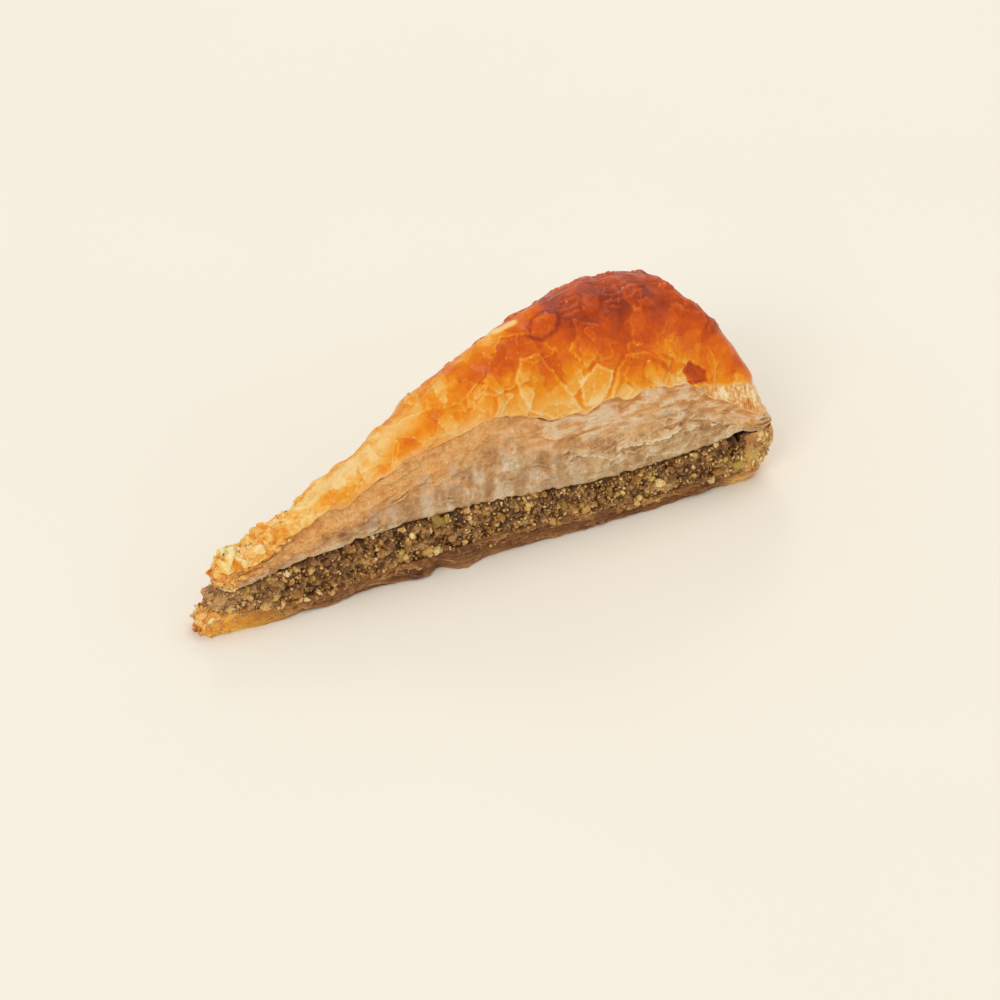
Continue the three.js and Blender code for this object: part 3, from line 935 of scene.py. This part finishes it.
def rim_crumbs():
    """Nuts pressed into the cut ends of the rim's leaves, darker towards the filling's top."""
    rng = np.random.default_rng(49)
    plan = Plan(BIT_STEPS)
    shape, faces = ball(1)
    inner, outer = RIM_X - RIM_WALL - 1, RIM_X - 0.8
    cut_ends = np.flatnonzero((plan.x > inner) & (plan.x < outer) & (abs(plan.out_x) < 0.9))
    heap = Heap()
    for _ in range(RIM_CRUMBS):
        place = plan.spot(rng.choice(cut_ends))
        level = rng.uniform(0, 1) ** 0.8
        z = lerp(base_top(place.x) - 1, filling_top(place.x) - 0.3, level)
        middle = wall_point(place, z, rng.uniform(-0.6, 0))[0]
        size = lerp(0.2, 1, rng.uniform(0, 1) ** 1.5)
        outward = (place.x[0] - inner) / (outer - inner)
        shade = rng.uniform(0.45, 1.05) - 0.5 * smooth(0.3, 0.7, level) * smooth(0.8, 0.2, outward)
        heap.add(middle + nut_bit(rng, shape, size), faces, shade=shade, along=0.97)
    return heap.mesh("rim_crumbs", sharp=True)


def filling_plan(half_steps):
    """The filling's outline, inside the base's standing rim."""
    return Plan(half_steps, tip=TIP_X + FILLING_RECESS, rim=RIM_X - RIM_WALL - GAP, corner=1, bow=0)


def filling_wall(plan, level, push):
    """The filling's cut face at a level from 0 to 1, pushed out by push."""
    z = lerp(base_top(plan.x) + 0.1, filling_top(plan.x) + 0.25, level)
    return wall_point(plan, z, 0.35 * wave(plan.s, 11, 3 * level) - 0.2 + push, 0)


def nut_core():
    """The finely ground nuts behind the loose bits, with a hollow near the rim."""
    rows = 48
    plan = filling_plan(WALL_STEPS)
    level = np.linspace(0, 1, rows)[:, None]
    x, y, z = plan.x, plan.y, lerp(base_top(plan.x), filling_top(plan.x), level)
    lumps = fractal((x, y, z), 2.4, 51, octaves=4, gain=0.7)
    cavity = bump(x - CAVITY_AT[0], 2.4) * bump(z - CAVITY_AT[1], 1.8) * (y < 0)
    edge_gap = (1.2 + 0.9 * noise((x, y, 0), 5, 56)) * smooth(0.82, 0.98, level)
    points = filling_wall(plan, level, 0.8 * lumps - 0.6 - edge_gap - 1.6 * cavity)
    # painted shade: darker in the lumps' hollows, inside the hole and in the gap under the leaves
    tones = {"deep": clamp(0.5 - 0.6 * lumps + 0.8 * cavity + 0.4 * edge_gap), "along": share_along(x)}
    return make_mesh("nut_core", points, block_faces(rows, plan.count), tones)


def ball(detail):
    """A unit icosphere's points and faces."""
    shape = bmesh.new()
    bmesh.ops.create_icosphere(shape, subdivisions=detail, radius=1)
    points = np.array([vertex.co[:] for vertex in shape.verts])
    faces = np.array([[vertex.index for vertex in face.verts] for face in shape.faces])
    shape.free()
    return points, faces


def random_turn(rng):
    """A random rotation matrix."""
    matrix, triangle = np.linalg.qr(rng.normal(size=(3, 3)))
    return matrix * np.sign(np.diag(triangle))


def nut_bit(rng, shape, size):
    """A broken, angular bit of nut round the origin."""
    lumps = 1 + 0.4 * noise(shape.T * 1.3 + rng.uniform(0, 99, (3, 1)), 1, 55)
    bits = shape * (lumps * rng.uniform(0.7, 1.2, len(shape)))[:, None]
    return bits * (size * rng.uniform(0.5, 1.3, 3)) @ random_turn(rng)


def crumbs(name, seed, count, radius, detail, tone, power):
    """Bits of ground nut that lie in the filling's cut faces, and some on the base's edge.

    Their tones lie between two ends, and a higher power makes more of them dark.
    """
    rng = np.random.default_rng(seed)
    plan, base_plan = filling_plan(CRUMB_STEPS), Plan(CRUMB_STEPS)
    on_base = np.flatnonzero(base_plan.x < RIM_X - RIM_WALL)
    shape, faces = ball(detail)
    heap = Heap()
    for _ in range(count):
        size = lerp(*radius, rng.uniform(0, 1) ** 2)
        if rng.uniform(0, 1) < 0.08:
            place = base_plan.spot(rng.choice(on_base))
            z = np.maximum(base_top(place.x) * (1 - abs(rng.normal(0, 0.3))), 2 * size)
            middle = wall_point(place, z, 0.4 * base_edge(place) - 0.3 - 0.3 * size)[0]
        else:
            place = plan.spot(rng.integers(plan.count))
            height = filling_top(place.x[0]) - base_top(place.x[0])
            level = rng.uniform(-0.06, 1.04 - min(0.45, size / height))
            middle = filling_wall(place, level, rng.uniform(-0.5, 0.1) - 0.3 * size)[0]
        if math.dist((middle[0], middle[2]), CAVITY_AT) < 2.2:
            continue
        shade = lerp(*tone, rng.uniform(0, 1) ** power)
        heap.add(middle + nut_bit(rng, shape, size), faces, shade=shade, along=share_along(middle[0]))
    return heap.mesh(name, sharp=True)


def nut_crumbs():
    """The many fine crumbs."""
    return crumbs("nut_crumbs", seed=52, count=7500, radius=(0.12, 0.55), detail=1, tone=(0, 1), power=0.9)


def nut_pieces():
    """The larger, chopped pieces."""
    return crumbs("nut_pieces", seed=53, count=480, radius=(0.6, 1.4), detail=2, tone=(0.1, 1), power=1)


def green_nuts():
    """Yellow-green nut pieces: a few at known places of the front and the rest anywhere."""
    rng = np.random.default_rng(54)
    plan = filling_plan(CRUMB_STEPS)
    front = plan.run(1, plan.count // 2 - 2)
    shape, faces = ball(2)
    places = [(front.spot(np.argmin(abs(front.x - x))), level, size) for x, level, size in GREEN_NUTS]
    for _ in range(LOOSE_GREEN_NUTS):
        place = plan.spot(rng.integers(plan.count))
        places.append((place, rng.uniform(0.15, 0.85), rng.uniform(0.3, 0.9)))
    heap = Heap()
    for place, level, size in places:
        middle = filling_wall(place, level, -0.3 * size)[0]
        heap.add(middle + nut_bit(rng, shape, size), faces, shade=rng.uniform(0, 1), along=0.5)
    return heap.mesh("green_nuts")


# ---- Materials ----


def linear(color):
    """Scene-linear colour from a hex code."""
    share = np.array(list(bytes.fromhex(color))) / 255
    values = np.where(share <= 0.04045, share / 12.92, ((share + 0.055) / 1.055) ** 2.4)
    return (*values.tolist(), 1.0)


class Nodes:
    """A short way to write a node tree. Colours are hex codes and sizes millimetres."""

    def __init__(self, name):
        self.material = bpy.data.materials.new(name)
        self.material.use_nodes = True
        self.tree = self.material.node_tree
        self.shader = self.tree.nodes["Principled BSDF"]

    def add(self, kind, inputs, **settings):
        node = self.tree.nodes.new(kind)
        for key, value in settings.items():
            setattr(node, key, value)
        for key, value in inputs.items():
            self.feed(node.inputs[key], value)
        return node

    def feed(self, socket, value):
        if isinstance(value, bpy.types.NodeSocket):
            self.tree.links.new(value, socket)
        elif socket.type == "RGBA":
            socket.default_value = linear(value)
        else:
            socket.default_value = value

    def tone(self, label):
        return self.add("ShaderNodeAttribute", {}, attribute_name=label).outputs["Fac"]

    def place(self, stretch=(1, 1, 1)):
        where = self.add("ShaderNodeTexCoord", {}).outputs["Object"]
        return self.add("ShaderNodeMapping", {"Vector": where, "Scale": stretch}).outputs["Vector"]

    def noise(self, size, detail=3, roughness=0.5, stretch=(1, 1, 1), output="Fac"):
        """Noise whose largest features have about this size."""
        inputs = {"Vector": self.place(stretch), "Scale": 1 / (size * MM)}
        inputs |= {"Detail": detail, "Roughness": roughness}
        return self.add("ShaderNodeTexNoise", inputs).outputs[output]

    def torn(self, size, ragged, stretch=(1, 1, 1)):
        """Torn patches of about this size: a random value in each, and the way to its edge."""
        wobble = self.vector("SUBTRACT", self.noise(ragged, 4, 0.6, output="Color"), (0.5, 0.5, 0.5))
        wobble = self.vector("MULTIPLY", wobble, (ragged * MM, ragged * MM, ragged * MM))
        where = self.vector("ADD", self.place(stretch), wobble)
        inputs = {"Vector": where, "Scale": 1 / (size * MM)}
        value = self.add("ShaderNodeTexVoronoi", inputs).outputs["Color"]
        outline = self.add("ShaderNodeTexVoronoi", inputs, feature="DISTANCE_TO_EDGE").outputs["Distance"]
        return value, outline

    def drops(self, size):
        """One drop to a cell of about this size: a random value, and the way from its middle."""
        inputs = {"Vector": self.place(), "Scale": 1 / (size * MM)}
        cells = self.add("ShaderNodeTexVoronoi", inputs)
        return self.math("FRACT", cells.outputs["Color"], 0), cells.outputs["Distance"]

    def math(self, operation, first, second):
        return self.add("ShaderNodeMath", {0: first, 1: second}, operation=operation).outputs[0]

    def vector(self, operation, first, second):
        return self.add("ShaderNodeVectorMath", {0: first, 1: second}, operation=operation).outputs[0]

    def times(self, first, second):
        return self.math("MULTIPLY", first, second)

    def total(self, *terms):
        """The sum of (value, weight) terms and plain numbers."""
        result = 0.0
        for term in terms:
            part = self.times(*term) if isinstance(term, tuple) else term
            result = self.math("ADD", result, part)
        return result

    def remap(self, value, low, high, to_low=0, to_high=1):
        inputs = {"Value": value, "From Min": low, "From Max": high, "To Min": to_low, "To Max": to_high}
        return self.add("ShaderNodeMapRange", inputs).outputs["Result"]

    def ramp(self, value, stops):
        """Colours by position, from {position: colour}."""
        node = self.add("ShaderNodeValToRGB", {"Fac": value})
        elements = node.color_ramp.elements
        while len(elements) < len(stops):
            elements.new(0.5)
        for element, (position, color) in zip(elements, stops.items()):
            element.position = position
            element.color = linear(color)
        return node.outputs["Color"]

    def mix(self, share, first, second):
        node = self.add("ShaderNodeMix", {}, data_type="RGBA")
        for name, value in (("Factor_Float", share), ("A_Color", first), ("B_Color", second)):
            socket = next(socket for socket in node.inputs if socket.identifier == name)
            self.feed(socket, value)
        return next(socket for socket in node.outputs if socket.identifier == "Result_Color")

    def bump(self, height, distance):
        return self.add("ShaderNodeBump", {"Height": height, "Distance": distance * MM}).outputs["Normal"]

    def finish(self, color, roughness, normal=None, coat=None, soak=None, specular=0.5, coat_normal=None):
        """Feeds the shader. The coat is (weight, roughness), and soak says how light spreads
        below the surface: (weight, radius, scale)."""
        sockets = {"Base Color": color, "Roughness": roughness, "Specular IOR Level": specular}
        if normal:
            sockets |= {"Normal": normal, "Coat Normal": coat_normal or normal}
        if coat:
            sockets |= {"Coat Weight": coat[0], "Coat Roughness": coat[1]}
        if soak:
            sockets |= zip(("Subsurface Weight", "Subsurface Radius", "Subsurface Scale"), soak)
        for key, value in sockets.items():
            self.feed(self.shader.inputs[key], value)
        return self.material


def leaf_material():
    """Pale leaves, browner to the left and at the tip, there partly as painted shade, with an orange band
    below the crust; painted shade darkens their hollows and painted highlights lighten free edges and fold
    crests.
    """
    n = Nodes("pale_leaves")
    fuzz = n.noise(0.5, 3, 0.7)
    patches = n.noise(6, 3, 0.6, (1, 1, 1.5))
    spots = n.noise(2.4, 4, 0.7)
    folds = n.noise(4, 3, 0.6, (0.6, 0.6, 1.8))
    torn, outline = n.torn(4.5, 2.5, (0.7, 0.7, 1.4))
    line = n.times(n.remap(outline, 0, 0.04, 1, 0), n.remap(patches, 0.45, 0.6))
    level, along = n.tone("level"), n.tone("along")
    # painted shade in hollows (the hollow tone) and painted highlight near free edges (the edge tone)
    shade = n.total(
        (n.tone("deep"), -0.8), (fuzz, 0.8), (patches, 0.35), (n.tone("cloud"), 0.35),
        (n.tone("sheet"), 0.35), (torn, 0.25), (line, 0.25), (n.tone("edge"), 0.4), (spots, 0.6), -0.45,
    )
    color = n.ramp(shade, {0: "8c5628", 0.3: "be864a", 0.55: "deb076", 0.8: "f6d6a8", 1: "fff2da"})

    low = n.remap(n.total(level, (patches, 0.3)), 0.6, 0.25, 0, 0.6)
    color = n.mix(low, color, n.mix(n.remap(spots, 0.35, 0.65), "a88250", "ecd2a4"))

    left_half = n.times(n.remap(along, 0.75, 0.5, 0, 0.65), n.remap(level, 0.85, 0.6))
    upright = n.noise(4.5, 3, 0.6, (1, 1, 0.5))
    color = n.mix(left_half, color, n.ramp(upright, {0.4: "ac7446", 0.5: "d4a46e", 0.58: "f0dec0"}))

    # darker and browner towards the tip: partly the leaves' own colour, partly painted shade over the left
    # of the cut face
    near_tip = n.remap(n.total(along, (patches, 0.3)), 0.6, 0.35, 0, 0.7)
    tip_shade = n.total((spots, 0.5), (fuzz, 0.35), (n.remap(level, 0.3, 0.1), 0.2))
    color = n.mix(near_tip, color, n.ramp(tip_shade, {0.3: "8a5428", 0.45: "c08c58", 0.62: "f0cc9c"}))

    band = n.total(
        level, (patches, 0.6), (torn, 0.25), (spots, 0.3),
        (n.remap(along, 0.6, 0.2), 0.35), (n.remap(along, 0.9, 1), 0.4),
    )
    band_color = n.ramp(n.total((spots, 0.6), (fuzz, 0.4)), {0.35: "de9046", 0.5: "f4b262", 0.65: "fcd294"})
    color = n.mix(n.remap(band, 1.08, 1.38, 0, 0.92), color, band_color)

    # paler where the folds rise: partly the leaves' colour, partly painted highlight on the fold crests
    right_top = n.times(n.remap(along, 0.5, 0.65, 0, 0.6), n.remap(level, 0.45, 0.7))
    color = n.mix(right_top, color, n.ramp(folds, {0.4: "c48248", 0.48: "e8b072", 0.57: "ffeccc"}))
    height = n.total((fuzz, 1.2), (n.noise(0.3, 2), 0.4), torn, (line, 0.4), spots, (folds, 2.5))
    return n.finish(
        color, n.remap(patches, 0.3, 0.7, 0.4, 0.6), n.bump(height, 0.35), coat=(0.25, 0.12),
        soak=(0.3, (1, 0.55, 0.3), 0.0004), specular=0.3,
    )


def frayed_material():
    """Golden frayed bits."""
    n = Nodes("frayed_bits")
    grain = n.noise(1.5, 3, 0.6)
    fine = n.noise(0.5, 3, 0.6)
    color = n.ramp(n.total(n.tone("shade"), (grain, 0.8), (fine, 0.3), -0.55), {
        0: "e28422", 0.3: "f4aa3e", 0.65: "fcce74", 1: "ffeec4",
    })
    return n.finish(color, 0.35, n.bump(n.total(grain, (fine, 0.3)), 0.25), coat=(0.6, 0.08))


def crust_material():
    """Glazed crust: golden along its edge and at the tip, brown on top, with pale drops of syrup and
    painted glints; painted shade darkens its hollows and painted highlights lighten free edges and the lip.
    """
    n = Nodes("glazed_crust")
    turn, along, edge = n.tone("turn"), n.tone("along"), n.tone("edge")
    mottle = n.noise(9, 3, 0.5)
    spots = n.noise(2.5, 4, 0.6)
    fine = n.noise(0.8, 4, 0.6)
    wide_torn = n.torn(14, 7)[0]
    torn = n.torn(6, 4)[0]
    drops, far = n.drops(2.4)
    # paler drops of syrup: partly the syrup's colour, partly painted glint
    drop = n.times(n.remap(far, 0.18, 0.08), n.remap(drops, 0.6, 0.64))
    height = n.times(n.remap(turn, 0.04, 0.7), n.remap(along, 0.3, 0.7, 0.2, 0.8))
    left_crest = n.times(n.remap(turn, 0.5, 0.85), n.remap(along, 0.62, 0.45))
    # the hollow tone adds painted shade and the edge tone a painted highlight
    brown = n.total(
        height, (left_crest, -0.32), (mottle, 0.6), (spots, 0.2), (fine, 0.2), (wide_torn, 0.27),
        (torn, 0.22), (n.tone("sheet"), -0.5), (n.tone("deep"), 0.4), (edge, -0.2), (drop, -0.25),
        n.tone("brown"), -0.525,
    )
    color = n.ramp(n.times(brown, 0.85), {
        0: "f6ce8a", 0.17: "f2b452", 0.34: "f09408", 0.51: "e26e00",
        0.68: "d05200", 0.85: "b44204", 1: "963206",
    })

    # paler strands below the flap: partly the leaves' colour, partly painted highlight on the strands
    stringy = n.times(n.tone("stringy"), n.remap(mottle, 0.35, 0.55, 0.3, 1))
    strands = n.total((n.noise(1.2, 4, 0.6, (1.6, 1.6, 0.5)), 0.5), (spots, 0.3), (torn, 0.2))
    color = n.mix(stringy, color, n.ramp(strands, {0.4: "bc6220", 0.5: "e4a258", 0.59: "ffe4b4"}))

    # painted highlight: a pale line along the crust's lip
    lip = n.times(n.remap(n.total(turn, (spots, 0.08)), 0.08, 0.04), n.remap(along, 0.8, 0.6, 0.3, 0.8))
    color = n.mix(lip, color, "f0ba74")

    low = n.remap(n.total(turn, (wide_torn, 0.12), (spots, 0.2)), 0.5, 0.28)
    left_half = n.remap(n.total(along, (mottle, 0.2)), 0.66, 0.54, 0, 0.85)
    soft_color = n.mix(n.remap(spots, 0.35, 0.65), "eca854", "f6c47a")
    color = n.mix(n.times(low, left_half), color, soft_color)

    near_tip = n.remap(n.total(along, (torn, 0.06), (spots, 0.15)), 0.4, 0.18, 0, 0.8)
    # near the tip, hollows get painted shade and free edges a painted highlight
    tip_shade = n.total(
        (spots, 0.3), (torn, 0.3), (n.tone("sheet"), 0.4), (n.tone("deep"), -0.3), (edge, 0.1), 0.15,
    )
    color = n.mix(near_tip, color, n.ramp(tip_shade, {
        0.27: "ec8c16", 0.42: "f8b63e", 0.57: "feda7a", 0.72: "ffeeb4",
    }))

    # painted glint: near-white specks in the middle of some drops
    painted_glint = n.times(n.remap(far, 0.1, 0.05), n.remap(n.total(drops, (spots, 0.6)), 1.06, 1.1))
    color = n.mix(n.times(painted_glint, n.remap(brown, 0.8, 0.4, 0.3, 0.75)), color, "fff0c8")
    relief = n.total((fine, 0.5), (spots, 0.9), (wide_torn, 1.6), (torn, 1.6), (drop, 0.2))
    return n.finish(
        color, n.remap(spots, 0.3, 0.7, 0.35, 0.6), n.bump(relief, 0.35), coat=(0.4, 0.12),
        soak=(0.12, (0.6, 0.45, 0.3), 0.0004), specular=0.08, coat_normal=n.bump(relief, 0.12),
    )


def base_material():
    """Soaked, dark leaves, golden at the tip and on the standing rim, with painted shade in their hollows
    and a painted highlight near free edges.
    """
    n = Nodes("soaked_base")
    along = n.tone("along")
    fuzz = n.noise(0.7, 3, 0.6, (0.4, 0.4, 1.6))
    patches = n.noise(5, 3, 0.6)
    torn, outline = n.torn(4, 2, (0.6, 0.6, 1.6))
    line = n.remap(outline, 0, 0.05, 1, 0)
    # painted shade in hollows (the hollow tone) and painted highlight near free edges (the edge tone)
    shade = n.total(
        (n.tone("deep"), -0.8), (fuzz, 0.5), (patches, 0.4), (n.tone("sheet"), 0.35), (torn, 0.35),
        (line, 0.12), (n.tone("edge"), 0.2),
    )
    color = n.ramp(shade, {0: "4e2a0e", 0.35: "7e4e22", 0.65: "a26e38", 1: "d2a060"})

    near_tip = n.remap(n.total(along, (patches, 0.12)), 0.22, 0.1)
    color = n.mix(near_tip, color, n.ramp(n.total((torn, 0.7), (fuzz, 0.6), -0.15), {
        0: "c86216", 0.35: "e88c22", 0.7: "f6b842", 1: "fce092",
    }))

    near_rim = n.remap(n.total(along, (patches, 0.05)), 0.94, 0.98, 0, 0.8)
    rim_low = n.mix(torn, "de983e", "fcd482")
    rim_high = n.mix(torn, "b06028", "e09a56")
    color = n.mix(near_rim, color, n.mix(n.remap(n.tone("level"), 0.5, 0.8), rim_low, rim_high))
    height = n.total(fuzz, (n.noise(0.3, 2), 0.4), (torn, 1.2), (line, 0.4))
    return n.finish(
        color, n.remap(patches, 0.3, 0.7, 0.25, 0.5), n.bump(height, 0.25), coat=(0.3, 0.16),
        soak=(0.4, (1, 0.45, 0.15), 0.0008), specular=0.25,
    )


def pale_at_tip(n, color, patches, tip_color):
    """The nuts' colour, paler near the tip."""
    near_tip = n.remap(n.total(n.tone("along"), (patches, 0.1)), 0.17, 0.08, 0, 0.6)
    return n.mix(near_tip, color, tip_color)


def nut_core_material():
    """Finely ground nuts, with painted shade in their hollows, in the hole near the rim and in the gap
    under the leaves.
    """
    n = Nodes("ground_nuts")
    grain = n.noise(0.6, 4, 0.7)
    patches = n.noise(4, 3, 0.6)
    # the hollow tone paints shade: darker in hollows, the hole and the gap
    color = n.ramp(n.total((grain, 0.9), (patches, 0.7), (n.tone("deep"), -0.7), 0.05), {
        0: "3a1f08", 0.4: "7a4d1e", 0.75: "b68342", 1: "e8c27e",
    })
    color = pale_at_tip(n, color, patches, "ce9c62")
    return n.finish(color, 0.5, n.bump(grain, 0.5), coat=(0.3, 0.2))


def crumb_material(name, stops, specks):
    """Bits of nut in the colours of the stops, speckled within each bit."""
    n = Nodes(name)
    grain = n.noise(0.5, 3, 0.6)
    patches = n.noise(4, 3, 0.6)
    shade = n.total((n.tone("shade"), 0.9), (grain, specks), (patches, 0.7), -0.3 - specks / 2)
    color = pale_at_tip(n, n.ramp(shade, stops), patches, "d8a86e")
    return n.finish(color, 0.45, n.bump(grain, 0.15), coat=(0.35, 0.15), soak=(0.2, (1, 0.6, 0.3), 0.0004))


# ---- Stage, light and camera ----


def look_direction(azimuth, elevation):
    """Unit vector from the target towards a viewer at this azimuth and elevation."""
    turn, tilt = math.radians(azimuth), math.radians(elevation)
    return Vector((math.sin(turn) * math.cos(tilt), -math.cos(turn) * math.cos(tilt), math.sin(tilt)))


def put(name, data, location=(0, 0, 0), facing=None):
    """Links a new object into the scene; a light or camera looks back along its facing."""
    thing = bpy.data.objects.new(name, data)
    thing.location = location
    if facing:
        thing.rotation_euler = facing.to_track_quat("Z", "Y").to_euler()
    bpy.context.scene.collection.objects.link(thing)
    return thing


def add_camera():
    lens = bpy.data.cameras.new("camera")
    lens.lens = LENS
    lens.sensor_width = SENSOR
    lens.clip_start = CLIP_START
    back = look_direction(VIEW_AZIMUTH, VIEW_ELEVATION)
    where = (Vector(VIEW_TARGET) + back * VIEW_DISTANCE) * MM
    bpy.context.scene.camera = put("camera", lens, where, back)


def add_light(name, azimuth, elevation, distance, size, power):
    """A round lamp that points at the origin."""
    light = bpy.data.lights.new(name, "AREA")
    light.shape = "DISK"
    light.size = size
    light.energy = power
    light.color = LIGHT_COLOR
    direction = look_direction(azimuth, elevation)
    put(name, light, direction * distance, direction)


def add_floor():
    """The pale table, as a stage."""
    corners = [(x * FLOOR_SPAN, y * FLOOR_SPAN, 0) for x, y in ((-1, -1), (1, -1), (1, 1), (-1, 1))]
    mesh = bpy.data.meshes.new("floor")
    mesh.from_pydata(corners, [], [(0, 1, 2, 3)])
    n = Nodes("floor")
    cloudy = n.mix(n.noise(120, 2), "f5efe0", "f8f2e4")
    mesh.materials.append(n.finish(cloudy, 0.9))
    floor = put("floor", mesh)


def add_sky():
    world = bpy.data.worlds.new("studio")
    world.use_nodes = True
    sky = world.node_tree.nodes["Background"].inputs
    sky["Color"].default_value = linear("fffdfa")
    sky["Strength"].default_value = SKY_STRENGTH
    bpy.context.scene.world = world


# ---- Put together ----

add_camera()
add_floor()
add_sky()
for lamp in LAMPS:
    add_light(*lamp)
bpy.context.scene.view_settings.view_transform = "Standard"

pale = leaf_material()
soaked = base_material()
frayed = frayed_material()
brown_nuts = crumb_material("nut_bits", NUT_BROWNS, 0.5)
green = crumb_material("green_nut_bits", NUT_GREENS, 0.6)

# each CAD node with its slot, and the pieces in its place with their materials
layers = {
    ("top_pastry", "glazed_pastry"): [
        (leaf_stack(), pale), (leaf_ribbons(), pale), (flakes(), frayed), (crust(), crust_material()),
    ],
    ("bottom_pastry", "soaked_base"): [
        (base_leaves(), soaked), (rim_leaves(), soaked), (rim_crumbs(), brown_nuts), (tip_bits(), frayed),
    ],
    ("nut_filling", "ground_nuts"): [
        (nut_core(), nut_core_material()), (nut_crumbs(), brown_nuts), (nut_pieces(), brown_nuts),
        (green_nuts(), green),
    ],
}
for (node, slot), pieces in layers.items():
    for piece, material in pieces:
        piece.data.materials.append(material)
        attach(piece, "root")
        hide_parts(node)
